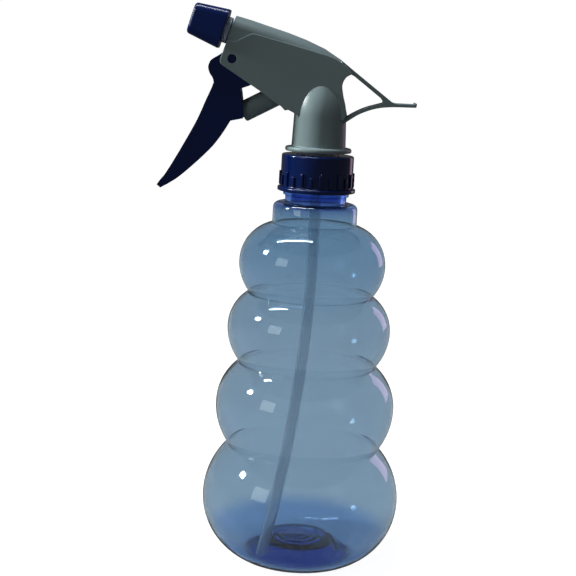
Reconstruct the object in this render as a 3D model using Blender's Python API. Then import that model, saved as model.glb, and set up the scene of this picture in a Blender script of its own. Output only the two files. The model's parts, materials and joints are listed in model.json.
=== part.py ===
"""Hand trigger spray bottle: a four-bulge PET bottle with a screw-on trigger sprayer.

+Z is up and the nozzle points toward -X. Lengths are metres. The bottle's heights are above the
table; everything on the sprayer head is placed in the head's frame, whose origin is the centre of
the collar's top face.
"""
import math

import bmesh
import bpy
from mathutils import Matrix, Vector

MM = 0.001
GAP = 0.3 * MM              # clearance between pieces that touch
THREAD_GAP = 0.4 * MM       # radial clearance between a thread and the wall it faces

# Bottle: each bulge is (equator radius, equator height above the foot or the waist below it),
# and each waist is (radius, height above the equator below it).
BULGES = [(43.45 * MM, 27.1 * MM), (39.3 * MM, 18.3 * MM), (35.65 * MM, 15.6 * MM), (31.8 * MM, 13.4 * MM)]
WAISTS = [(33.1 * MM, 23.8 * MM), (29.7 * MM, 18.8 * MM), (26.95 * MM, 15.5 * MM)]
BOTTLE_WALL = 0.8 * MM
FOOT_R = 25.0 * MM          # outer edge of the standing ring
FOOT_WIDTH = 4.0 * MM
PUSH_UP_RISE = 7.8 * MM     # height of the base's centre above the table
DRUM_STEP = 5.7 * MM        # drum's radius over the neck finish's
DRUM_RISE = 17.3 * MM       # top bulge's equator to the drum's foot
DRUM_HEIGHT = 9.2 * MM
DRUM_CORNER = 2.6 * MM
NECK_STEP = 0.65 * MM       # neck's radius over the finish's
NECK_HEIGHT = 3.2 * MM
BEAD_STEP = 1.6 * MM        # bead's radius over the finish's
BEAD_HEIGHT = 1.4 * MM

# Neck finish and its thread.
FINISH_R = 12.6 * MM
FINISH_HEIGHT = 10.2 * MM
FINISH_WALL = 1.8 * MM
THREAD_DEPTH = 1.0 * MM
THREAD_PITCH = 4.2 * MM
THREAD_WIDTH = 1.6 * MM
THREAD_TURNS = 1.25
THREAD_START = 2.7 * MM     # bead's top to the middle of the thread's lower end

# Stack in the collar, from the bottle's mouth up.
GASKET_THICKNESS = 1.0 * MM
FLANGE_THICKNESS = 1.7 * MM
DECK_THICKNESS = 1.4 * MM

# Collar.
COLLAR_WALL = 1.55 * MM
COLLAR_SKIRT_FLARE = 1.25 * MM
COLLAR_SKIRT_HEIGHT = 1.6 * MM
COLLAR_SKIRT_EDGE = 0.3 * MM
COLLAR_SKIRT_SLOPE = 0.5 * MM
COLLAR_BEAD_GAP = 0.4 * MM
COLLAR_CORNER = 1.2 * MM
RIB_COUNT = 24
RIB_DEPTH = 0.75 * MM
RIB_WIDTH = 1.6 * MM
LONG_RIB = 6.9 * MM
SHORT_RIB = 5.2 * MM

# Shroud: bell, side panels, spine and tail. Points are (x, height) in the head's frame.
BELL_FLANGE_R = 14.25 * MM
BELL_FLANGE_RISE = 1.3 * MM
BELL_FLANGE_HEIGHT = 3.1 * MM
BELL_FOOT_R = 11.65 * MM
BELL_R = 11.2 * MM
BELL_SHOULDER = 16.4 * MM
DOME_HEIGHT = 17.9 * MM
BELL_WALL = 1.1 * MM
BELL_FLANGE_EDGE = 0.6 * MM
BELL_FLANGE_BROW = 1.2 * MM
PANEL_WALL = 0.8 * MM
SPINE_WALL = 1.0 * MM
SPINE_PIPE_GAP = 0.4 * MM
SPINE_ROUNDING = 0.85       # corner radius of the spine's arch over its half width
TAIL_HALF = 5.5 * MM
PANEL_OUTLINE = [
    (-40.5, 47.6), (-43.4, 38.8), (-43.2, 37.6), (-42.3, 36.8), (-26.0, 26.8), (-16.7, 20.8),
    (-15.0, 19.1), (-13.8, 19.6), (-9.6, 17.6), (9.8, 16.1), (11.4, 18.6), (9.2, 26.8),
    (8.5, 30.9), (9.6, 33.9), (12.6, 35.8), (9.6, 39.2), (4.3, 42.4), (-11.2, 46.2), (-30.1, 50.6),
    (-37.5, 46.7),
]
PANEL_HOLLOW = [
    (-50.0, 45.6), (-50.0, 33.0), (-30.0, 18.0), (-17.0, 15.0), (-14.2, 17.6), (-14.2, 20.7),
    (-9.2, 18.8), (7.4, 18.8), (7.4, 31.4), (8.6, 35.2), (3.9, 41.3), (-11.4, 45.1), (-30.1, 49.5),
    (-37.4, 45.6),
]
RIDGE = [(-37.4, 57.5), (-30.4, 55.8), (-23.4, 53.8), (-15.4, 51.6), (-7.5, 49.0), (0.5, 45.7), (8.0, 41.2)]
RIDGE_LEAN = 6.1 / 18.9     # the front edge's slope, x over height
SPINE_DEPTH = 13.0 * MM
TAIL_OUTLINE = [
    (8.0, 41.1), (12.8, 37.5), (30.9, 24.3), (39.6, 24.3), (40.0, 25.0), (40.6, 24.8), (40.4, 23.1),
    (30.0, 22.9), (24.4, 22.6), (20.0, 21.2), (16.0, 19.0), (12.3, 16.4), (8.6, 13.7), (8.6, 16.0),
    (14.9, 20.2), (19.2, 22.6), (23.4, 23.8), (26.7, 24.4), (25.8, 25.9), (12.9, 35.4), (8.0, 36.6),
]

# Pump: its axis runs rearward and up from the piston's front end, at PUMP_START.
PUMP_START = (-33.4, 17.2)
PUMP_TILT = 29.0
PISTON_R = 4.4 * MM
PISTON_LENGTH = 27.8 * MM
PISTON_CHAMFER = 0.8 * MM
PISTON_BORE_WALL = 0.7 * MM  # wall left under the seal's land
PISTON_BORE_START = 12.0 * MM
SEAL_LAND_DEPTH = 0.8 * MM
SEAL_LAND_START = 25.2 * MM
SEAL_LAND_LENGTH = 2.0 * MM
SEAL_LIP_DEPTH = 0.2 * MM
CYLINDER_START = 17.5 * MM
CYLINDER_END = 37.5 * MM
CYLINDER_END_WALL = 1.5 * MM
CYLINDER_WALL = 0.8 * MM
GLAND_WALL = 0.6 * MM
GLAND_STEP = 0.3 * MM       # gland pocket's radius over the cylinder bore's
GLAND_LENGTH = 2.4 * MM
SPRING_WIRE = 0.3 * MM
SPRING_TURNS = 8

# Stem, inlet and discharge passages of the pump body.
STEM_WALL = 1.6 * MM
STEM_NECK_R = 8.4 * MM
STEM_TOP = 31.0 * MM
SNAP_BEAD_HEIGHT = 1.2 * MM
INLET_PIPE_DROP = 12.8 * MM
INLET_WALL = 1.2 * MM
INLET_BORE_TOP = 11.6 * MM
RISER_R = 1.5 * MM
RISER_TOP = 32.6 * MM
PORT_R = 1.3 * MM
PORT_LENGTH = 8.6 * MM
PORT_SETBACK = 3.2 * MM     # chamber's end to the discharge port's axis
DISCHARGE_R = 4.6 * MM
DISCHARGE_BORE_R = 2.2 * MM
DISCHARGE_REAR = 42.0 * MM
DISCHARGE_PLUG = 2.0 * MM   # thickness of the closed rear end

# Inlet valve.
TUBE_R = 2.5 * MM
TUBE_WALL = 0.7 * MM
ADAPTER_WALL = 0.7 * MM
TUBE_TOP = -1.0 * MM
SEAT_BORE_R = 1.3 * MM
SEAT_RISE = 3.2 * MM
SEAT_RIM_WALL = 0.5 * MM
SEAT_TOP = 5.6 * MM
BALL_R = 1.8 * MM
BALL_GAP = 0.2 * MM
CAGE_WALL = 0.9 * MM
CAGE_BAR_RISE = 8.2 * MM
CAGE_BAR_SIZE = 1.2 * MM

# Dip tube's bend: straight down to TUBE_BEND_Z, then a parabola to its foot.
TUBE_BEND_Z = 140.0 * MM
TUBE_FOOT = (-15.6 * MM, -14.6 * MM, 4.6 * MM)

# Nozzle: its axis leaves the head at NOZZLE_START and rises toward the front.
NOZZLE_START = (-42.2, 51.7)
NOZZLE_TILT = 16.4
CAP_LENGTH = 14.3 * MM
CAP_REAR_HALF = 8.45 * MM
CAP_FRONT_HALF = 6.75 * MM
CAP_EDGE = 0.7 * MM
CAP_SQUARENESS = 5.0
CAP_FRONT_WALL = 2.7 * MM
CAP_DIMPLE_R = 2.6 * MM
CAP_DIMPLE_DEPTH = 0.9 * MM
ORIFICE_R = 0.5 * MM
SPOUT_RING_R = 5.6 * MM
SPOUT_RING_REAR = 2.3 * MM
SPOUT_CORE_R = 4.7 * MM
SPOUT_FRONT = 10.0 * MM
SPOUT_PLUG_R = 3.4 * MM
SPOUT_PLUG_REAR = 9.5 * MM
SPOUT_BORE_R = 2.1 * MM
VALVE_SEAT = -1.0 * MM
VALVE_CHAMBER_R = 3.3 * MM
VALVE_HEAD_R = 2.7 * MM
VALVE_HEAD_THICKNESS = 1.0 * MM
VALVE_STEM_R = 0.9 * MM
VALVE_STEM_LENGTH = 3.2 * MM
CORE_REAR = 4.9 * MM
CORE_GROOVES = 3
CORE_GROOVE = 0.9 * MM
OUTLET_WIRE = 0.22 * MM
OUTLET_COIL_R = 1.7 * MM
OUTLET_TURNS = 4
NOZZLE_SEAL_THICKNESS = 1.0 * MM
NOZZLE_SEAL_BORE_R = 1.5 * MM
NOZZLE_THREAD_DEPTH = 0.6 * MM
NOZZLE_THREAD_PITCH = 2.4 * MM
NOZZLE_THREAD_WIDTH = 0.9 * MM
NOZZLE_THREAD_START = 2.2 * MM
NOZZLE_THREAD_GAP = 0.35 * MM
NOZZLE_THREAD_TURNS = 2.0

# Trigger. Each section is (front point, rear point); the channel opens at the rear.
TRIGGER_PIVOT = (-38.3, 39.6)
TRUNNION_R = 1.6 * MM
TRIGGER_SKIN = 1.8
CHEEK_WALL = 1.4 * MM
TIP_CHANNEL_DEPTH = 0.7
FINGER_SECTIONS = [
    ((-68.2, -14.7), (-66.6, -16.2)), ((-66.2, -12.3), (-62.6, -13.8)), ((-63.6, -9.2), (-58.6, -10.9)),
    ((-59.0, -0.7), (-52.2, -5.0)), ((-54.1, 9.0), (-45.9, 1.6)), ((-51.9, 13.7), (-41.6, 7.7)),
    ((-50.2, 18.0), (-38.2, 13.6)),
]
PAD_SECTIONS = [
    ((-49.9, 18.7), (-32.7, 14.9)), ((-48.6, 22.6), (-32.4, 16.6)), ((-47.2, 27.0), (-33.3, 22.3)),
    ((-46.1, 30.0), (-34.0, 27.6)),
]
PAD_FACE = (-36.0, 14.8)
PAD_LEAN = 19.0             # lean of the pad's face from upright, midway through the squeeze
CAM_R = 1.2 * MM
CAM_OFFSET = 0.8 * MM       # cam's axis below the pump's axis
LUG_OUTLINE = [
    (-46.4, 28.9), (-45.7, 31.1), (-47.6, 33.3), (-48.4, 35.8), (-47.4, 38.6), (-42.9, 41.5),
    (-41.2, 43.3), (-38.3, 44.2), (-35.3, 43.1), (-33.4, 40.5), (-31.0, 33.0), (-30.3, 28.8),
    (-34.0, 27.4),
]

# Facets.
BOTTLE_STEPS = 32
COLLAR_STEPS = 40
THREAD_STEPS = 24
BELL_STEPS = 32
SMALL_STEPS = 20
PUMP_STEPS = 24
TINY_STEPS = 12
CAP_STEPS = 24
OUTER_ARC_STEPS = 5
INNER_ARC_STEPS = 3
ROOT_SINK = 0.3 * MM        # how far a ridge starts inside the wall that it stands on
OVERRUN = 1.0 * MM          # how far a cutter runs past the wall that it opens

# Heights that follow from the sizes above.
DRUM_Z = sum(rise for _, rise in BULGES) + sum(rise for _, rise in WAISTS) + DRUM_RISE
BEAD_TOP_Z = DRUM_Z + DRUM_HEIGHT + NECK_HEIGHT + BEAD_HEIGHT
MOUTH_Z = BEAD_TOP_Z + FINISH_HEIGHT
HEAD_Z = MOUTH_Z + GASKET_THICKNESS + FLANGE_THICKNESS + DECK_THICKNESS + 3 * GAP

# Radii and half widths that follow from the sizes above.
DRUM_R = FINISH_R + DRUM_STEP
NECK_R = FINISH_R + NECK_STEP
BEAD_R = FINISH_R + BEAD_STEP
MOUTH_BORE_R = FINISH_R - FINISH_WALL
COLLAR_BORE_R = FINISH_R + THREAD_DEPTH + THREAD_GAP
COLLAR_R = COLLAR_BORE_R + COLLAR_WALL
COLLAR_FOOT = BEAD_TOP_Z + COLLAR_BEAD_GAP - HEAD_Z
ADAPTER_R = TUBE_R + GAP + ADAPTER_WALL
SEAT_RIM_R = ADAPTER_R - SEAT_RIM_WALL
INLET_BORE_R = ADAPTER_R + GAP
INLET_PIPE_R = INLET_BORE_R + INLET_WALL
STEM_R = INLET_BORE_R + STEM_WALL
SEAL_LAND_R = PISTON_R - SEAL_LAND_DEPTH
SEAL_LIP_R = PISTON_R - SEAL_LIP_DEPTH
PISTON_BORE_R = SEAL_LAND_R - PISTON_BORE_WALL
GLAND_POCKET_R = PISTON_R + GLAND_WALL + 2 * GAP
CYLINDER_BORE_R = GLAND_POCKET_R - GLAND_STEP
CYLINDER_R = CYLINDER_BORE_R + CYLINDER_WALL
PANEL_INNER = CYLINDER_R + GAP
PANEL_HALF = PANEL_INNER + PANEL_WALL
SPINE_HALF = DISCHARGE_R + SPINE_PIPE_GAP + SPINE_WALL
CAP_BORE_R = SPOUT_CORE_R + NOZZLE_THREAD_DEPTH + NOZZLE_THREAD_GAP


def clear_scene():
    for obj in list(bpy.data.objects):
        bpy.data.objects.remove(obj, do_unlink=True)


def make_material(name, colour, roughness, metallic=0.0):
    material = bpy.data.materials.new(name)
    material.use_nodes = True
    shader = material.node_tree.nodes["Principled BSDF"]
    shader.inputs["Base Color"].default_value = (*colour, 1.0)
    shader.inputs["Roughness"].default_value = roughness
    shader.inputs["Metallic"].default_value = metallic
    material.diffuse_color = (*colour, 1.0)
    return material


def make_frame(name, location, parent=None, tilt=0.0):
    """An empty that carries pieces; tilt turns it about Y, in degrees."""
    frame = bpy.data.objects.new(name, None)
    frame.empty_display_size = 0.01
    frame.location = location
    frame.rotation_euler = (0.0, math.radians(tilt), 0.0)
    frame.parent = parent
    bpy.context.scene.collection.objects.link(frame)
    return frame


def make_object(name, bm, parent, material=None):
    """Turn a bmesh into an object, with its normals outward and its round faces smooth."""
    bmesh.ops.remove_doubles(bm, verts=bm.verts, dist=1e-7)
    bmesh.ops.recalc_face_normals(bm, faces=bm.faces)
    mesh = bpy.data.meshes.new(name)
    bm.to_mesh(mesh)
    bm.free()
    mesh.shade_smooth()
    mesh.set_sharp_from_angle(angle=math.radians(35))
    obj = bpy.data.objects.new(name, mesh)
    obj.parent = parent
    if material:
        mesh.materials.append(material)
    bpy.context.scene.collection.objects.link(obj)
    return obj


def cut_or_join(target, tool, operation):
    """Add an exact Boolean; the tool stays in the scene as a hidden wire object."""
    tool.hide_render = True
    tool.display_type = "WIRE"
    modifier = target.modifiers.new(f"{operation.title()} {tool.name}", "BOOLEAN")
    modifier.operation = operation
    modifier.object = tool
    modifier.solver = "EXACT"


def points(outline):
    """Outline points in millimetres as metres."""
    return [(x * MM, z * MM) for x, z in outline]


def spin_profile(profile, steps, offset=0.0):
    """Turn a (radius, height) profile about Z; a profile off the axis at both ends is closed.

    The offset turns the facets by a share of one step, so that crossing pieces don't line up.
    """
    bm = bmesh.new()
    verts = [bm.verts.new((r, 0.0, z)) for r, z in profile]
    ends_on_axis = profile[0][0] == 0.0 and profile[-1][0] == 0.0
    pairs = list(zip(verts, verts[1:]))
    if not ends_on_axis:
        pairs.append((verts[-1], verts[0]))
    edges = [bm.edges.new(pair) for pair in pairs]
    bmesh.ops.spin(bm, geom=verts + edges, cent=(0, 0, 0), axis=(0, 0, 1), dvec=(0, 0, 0),
                   angle=math.tau, steps=steps, use_merge=True, use_duplicate=False)
    bmesh.ops.remove_doubles(bm, verts=bm.verts, dist=1e-7)
    turn = Matrix.Rotation(offset * math.tau / steps, 3, "Z")
    bmesh.ops.rotate(bm, cent=(0, 0, 0), matrix=turn, verts=bm.verts)
    return bm


def prism(outline, half_width):
    """A flat side outline, in x and z, thickened to both sides of the symmetry plane."""
    bm = bmesh.new()
    near = bm.faces.new([bm.verts.new((x, -half_width, z)) for x, z in outline])
    grown = bmesh.ops.extrude_face_region(bm, geom=[near])
    far = [item for item in grown["geom"] if isinstance(item, bmesh.types.BMVert)]
    bmesh.ops.translate(bm, verts=far, vec=(0.0, 2 * half_width, 0.0))
    return bm


def loft(sections, closed=False):
    """Skin a row of loops with equal point counts; capped at both ends unless it closes on itself."""
    bm = bmesh.new()
    rows = [[bm.verts.new(point) for point in section] for section in sections]
    links = list(zip(rows, rows[1:]))
    if closed:
        links.append((rows[-1], rows[0]))
    else:
        bm.faces.new(rows[0])
        bm.faces.new(rows[-1])
    for lower, upper in links:
        for i in range(len(lower)):
            j = (i + 1) % len(lower)
            bm.faces.new((lower[i], lower[j], upper[j], upper[i]))
    return bm


def circle_section(centre, across, up, radius, sides):
    """A ring of points around a centre, in the plane of two unit vectors."""
    angles = [math.tau * i / sides for i in range(sides)]
    return [centre + radius * (math.cos(a) * across + math.sin(a) * up) for a in angles]


def coil(radius, wire, low, high, turns, sides=5, steps_per_turn=10):
    """A wire wound about Z between two heights, which are the outsides of its end turns."""
    sections = []
    count = round(turns * steps_per_turn)
    for i in range(count + 1):
        angle = math.tau * turns * i / count
        outward = Vector((math.cos(angle), math.sin(angle), 0.0))
        height = low + wire + (high - low - 2 * wire) * i / count
        centre = radius * outward + Vector((0.0, 0.0, height))
        sections.append(circle_section(centre, outward, Vector((0.0, 0.0, 1.0)), wire, sides))
    return loft(sections)


def thread_ridge(root_r, crest_r, width, pitch, start_z, start_turn, turns, steps):
    """A right-hand thread about Z, sunk into its wall; it runs out to nothing at both ends."""
    inward = 1.0 if crest_r > root_r else -1.0
    count = round(turns * steps)
    sections = []
    for i in range(count + 1):
        turn = start_turn + turns * i / count
        fade = min(1.0, 0.15 + 4.0 * min(i, count - i) / steps)
        outward = Vector((math.cos(math.tau * turn), math.sin(math.tau * turn), 0.0))
        middle = start_z + pitch * (turn - start_turn)
        foot_r = root_r - inward * ROOT_SINK
        top_r = root_r + (crest_r - root_r) * fade
        corners = [(foot_r, -width / 2), (top_r, -width / 4), (top_r, width / 4), (foot_r, width / 2)]
        sections.append([r * outward + Vector((0.0, 0.0, middle + dz)) for r, dz in corners])
    return loft(sections)


def bulge_arc(equator, end, steps):
    """Arc that leaves a bulge's equator upright and ends at a waist, equator first, end left out."""
    fall = equator[0] - end[0]
    rise = abs(end[1] - equator[1])
    side = 1.0 if end[1] > equator[1] else -1.0
    radius = (fall * fall + rise * rise) / (2 * fall)
    sweep = math.atan2(rise, radius - fall)
    arc = []
    for i in range(steps):
        angle = sweep * i / steps
        arc.append((equator[0] - radius * (1 - math.cos(angle)), equator[1] + side * radius * math.sin(angle)))
    return arc


def rounded_corner(centre, radius, start, end, steps=3):
    """Points of an arc between two angles in degrees."""
    angles = [math.radians(start + (end - start) * i / steps) for i in range(steps + 1)]
    return [(centre[0] + radius * math.cos(a), centre[1] + radius * math.sin(a)) for a in angles]


def body_profile(inset, steps):
    """The bottle's side from the foot ring to the drum's foot, moved inward by a wall."""
    profile = [(FOOT_R - inset, inset)]
    level = 0.0
    for (bulge_r, bulge_rise), (waist_r, waist_rise) in zip(BULGES, WAISTS + [(DRUM_R, DRUM_RISE)]):
        level += bulge_rise
        equator = (bulge_r - inset, level)
        lower = bulge_arc(equator, profile[-1], steps)
        level += waist_rise
        waist = (waist_r - inset, level)
        profile += lower[:0:-1] + bulge_arc(equator, waist, steps) + [waist]
    return profile


def drum_profile(inset):
    """The drum above the bulges, with its rounded shoulder, up to the neck."""
    top = DRUM_Z + DRUM_HEIGHT - inset
    corner_r = DRUM_CORNER - inset
    return rounded_corner((DRUM_R - inset - corner_r, top - corner_r), corner_r, 0, 90)


def build_bottle(parent, material):
    foot_inner = FOOT_R - FOOT_WIDTH
    push_up = [(0.0, 1.0), (0.36, 0.9), (0.78, 0.55), (0.9, 0.22)]
    neck_foot = DRUM_Z + DRUM_HEIGHT
    under = [(foot_inner * share, PUSH_UP_RISE * rise) for share, rise in push_up]
    outside = under + [(foot_inner, 0.0)] + body_profile(0.0, OUTER_ARC_STEPS) + drum_profile(0.0) + [
        (NECK_R, neck_foot), (NECK_R, neck_foot + NECK_HEIGHT), (BEAD_R, neck_foot + NECK_HEIGHT),
        (BEAD_R, BEAD_TOP_Z), (FINISH_R, BEAD_TOP_Z), (FINISH_R, MOUTH_Z), (MOUTH_BORE_R, MOUTH_Z),
    ]
    wall = BOTTLE_WALL
    floor = [(r, z + wall) for r, z in under] + [(foot_inner, wall)]
    inside = floor + body_profile(wall, INNER_ARC_STEPS) + drum_profile(wall)
    inside.append((MOUTH_BORE_R, neck_foot - wall))
    bottle = make_object("bottle", spin_profile(outside + inside[::-1], BOTTLE_STEPS), parent, material)
    ridge = thread_ridge(FINISH_R, FINISH_R + THREAD_DEPTH, THREAD_WIDTH, THREAD_PITCH,
                         BEAD_TOP_Z + THREAD_START, 0.0, THREAD_TURNS, THREAD_STEPS)
    cut_or_join(bottle, make_object("neck_thread_tool", ridge, parent), "UNION")


def build_collar(parent, material):
    skirt_r = COLLAR_R + COLLAR_SKIRT_FLARE
    skirt_top = COLLAR_FOOT + COLLAR_SKIRT_HEIGHT
    edge = COLLAR_SKIRT_EDGE
    hole_r = STEM_NECK_R + THREAD_GAP
    shoulder = rounded_corner((COLLAR_R - COLLAR_CORNER, -COLLAR_CORNER), COLLAR_CORNER, 0, 90)
    profile = [
        (COLLAR_BORE_R, COLLAR_FOOT), (skirt_r - edge, COLLAR_FOOT), (skirt_r, COLLAR_FOOT + edge),
        (skirt_r, skirt_top - edge), (skirt_r - edge, skirt_top), (COLLAR_R, skirt_top + COLLAR_SKIRT_SLOPE),
    ] + shoulder + [(hole_r, 0.0), (hole_r, -DECK_THICKNESS), (COLLAR_BORE_R, -DECK_THICKNESS)]
    collar = make_object("closure_collar", spin_profile(profile, COLLAR_STEPS), parent, material)
    ribs = make_object("collar_ribs_tool", collar_ribs(skirt_top - ROOT_SINK), parent)
    cut_or_join(collar, ribs, "UNION")
    thread_z = BEAD_TOP_Z - HEAD_Z + THREAD_START
    ridge = thread_ridge(COLLAR_BORE_R, FINISH_R + THREAD_GAP, THREAD_WIDTH, THREAD_PITCH,
                         thread_z, 0.5, 1.0, THREAD_STEPS)
    cut_or_join(collar, make_object("collar_thread_tool", ridge, parent), "UNION")


def collar_ribs(foot):
    """Grip ribs, long and short in turn, each with a sloped top."""
    bm = bmesh.new()
    for i in range(RIB_COUNT):
        height = LONG_RIB if i % 2 == 0 else SHORT_RIB
        angle = math.tau * (i + 0.5) / RIB_COUNT
        inner = COLLAR_R - ROOT_SINK
        outer = COLLAR_R + RIB_DEPTH
        half = RIB_WIDTH / 2
        corners = [
            (inner, -half, foot), (outer, -half * 0.6, foot), (outer, half * 0.6, foot), (inner, half, foot),
            (inner, -half, foot + height), (outer, -half * 0.6, foot + height - RIB_DEPTH),
            (outer, half * 0.6, foot + height - RIB_DEPTH), (inner, half, foot + height),
        ]
        turn = Matrix.Rotation(angle, 3, "Z")
        v = [bm.verts.new(turn @ Vector(corner)) for corner in corners]
        for face in ((0, 1, 2, 3), (7, 6, 5, 4), (0, 4, 5, 1), (1, 5, 6, 2), (2, 6, 7, 3), (3, 7, 4, 0)):
            bm.faces.new([v[k] for k in face])
    return bm


def build_gasket(parent, material):
    low = -DECK_THICKNESS - FLANGE_THICKNESS - 2 * GAP - GASKET_THICKNESS
    inner = MOUTH_BORE_R
    outer = FINISH_R - GAP
    profile = [(inner, low), (outer, low), (outer, low + GASKET_THICKNESS), (inner, low + GASKET_THICKNESS)]
    make_object("neck_gasket", spin_profile(profile, BELL_STEPS), parent, material)


def arch_section(x, top, half, depth, lean):
    """A round-topped cross-section of the spine; lean slopes it to match the front edge."""
    corner = half * SPINE_ROUNDING
    side = [(-half, top - depth), (-half, top - corner)]
    arc = []
    for i in range(1, 6):
        angle = math.pi * i / 6
        arc.append((-half * math.cos(angle), top - corner + corner * math.sin(angle)))
    loop = side + arc + [(half, top - corner), (half, top - depth)]
    return [Vector((x - (top - z) * lean, y, z)) for y, z in loop]


def spine(inset, extend):
    """The rounded spine over the discharge pipe; extend carries its front end past the shroud's."""
    half = SPINE_HALF - inset
    ridge = points(RIDGE)
    sections = []
    for i, (x, z) in enumerate(ridge):
        lean = RIDGE_LEAN * (1 - i / (len(ridge) - 1))
        sections.append(arch_section(x, z - inset, half, SPINE_DEPTH - 2 * inset, lean))
    if extend:
        slope = Vector((ridge[0][0] - ridge[1][0], 0.0, ridge[0][1] - ridge[1][1])).normalized()
        sections.insert(0, [point + slope * extend for point in sections[0]])
        sections.pop()
    return loft(sections)


def bell(inset):
    """The bell: an upright tube under an egg-shaped dome, as a solid."""
    shoulder_r = BELL_R - inset
    rise = DOME_HEIGHT - inset
    dome = []
    for i in range(1, 7):
        angle = math.pi / 2 * i / 7
        dome.append((shoulder_r * math.cos(angle), BELL_SHOULDER + rise * math.sin(angle)))
    top = [(0.0, BELL_SHOULDER + rise)]
    foot = BELL_FLANGE_RISE
    if inset:
        return spin_profile([(0.0, foot - OVERRUN), (BELL_FOOT_R - inset, foot - OVERRUN),
                             (shoulder_r, BELL_SHOULDER)] + dome + top, BELL_STEPS)
    low = BELL_FLANGE_EDGE
    high = BELL_FLANGE_BROW
    edge = rounded_corner((BELL_FLANGE_R - low, foot + low), low, -90, 0, 2)
    brim = rounded_corner((BELL_FLANGE_R - high, foot + BELL_FLANGE_HEIGHT - high), high, 0, 90)
    return spin_profile([(0.0, foot)] + edge + brim + [
        (BELL_FOOT_R, foot + BELL_FLANGE_HEIGHT), (shoulder_r, BELL_SHOULDER)] + dome + top, BELL_STEPS)


def rod_along_y(x, z, radius, half_length, steps):
    bm = spin_profile([(0.0, -half_length), (radius, -half_length), (radius, half_length),
                       (0.0, half_length)], steps)
    bmesh.ops.transform(bm, matrix=Matrix.Rotation(math.pi / 2, 4, "X"), verts=bm.verts)
    bmesh.ops.translate(bm, verts=bm.verts, vec=(x, 0.0, z))
    return bm


def build_shroud(parent, pump, material):
    shroud = make_object("shroud", bell(0.0), parent, material)
    panel = make_object("shroud_panel_tool", prism(points(PANEL_OUTLINE), PANEL_HALF), parent)
    ridge = make_object("shroud_spine_tool", spine(0.0, 0.0), parent)
    tail = make_object("shroud_tail_tool", prism(points(TAIL_OUTLINE), TAIL_HALF), parent)
    for tool in (panel, ridge, tail):
        cut_or_join(shroud, tool, "UNION")
    bell_hollow = make_object("bell_hollow_tool", bell(BELL_WALL), parent)
    panel_hollow = make_object("panel_hollow_tool", prism(points(PANEL_HOLLOW), PANEL_INNER), parent)
    spine_hollow = make_object("spine_hollow_tool", spine(SPINE_WALL, SPINE_HALF), parent)
    pivot_x, pivot_z = points([TRIGGER_PIVOT])[0]
    hole = rod_along_y(pivot_x, pivot_z, TRUNNION_R + GAP, PANEL_HALF + OVERRUN, TINY_STEPS)
    trunnion_hole = make_object("trunnion_hole_tool", hole, parent)
    barrel_rear = CYLINDER_END + CYLINDER_END_WALL + GAP
    room = spin_profile([
        (0.0, CYLINDER_START), (CYLINDER_R + GAP, CYLINDER_START), (CYLINDER_R + GAP, barrel_rear),
        (0.0, barrel_rear),
    ], PUMP_STEPS, 0.5)
    barrel_room = make_object("barrel_room_tool", room, pump)
    for tool in (bell_hollow, panel_hollow, spine_hollow, trunnion_hole, barrel_room):
        cut_or_join(shroud, tool, "DIFFERENCE")


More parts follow.
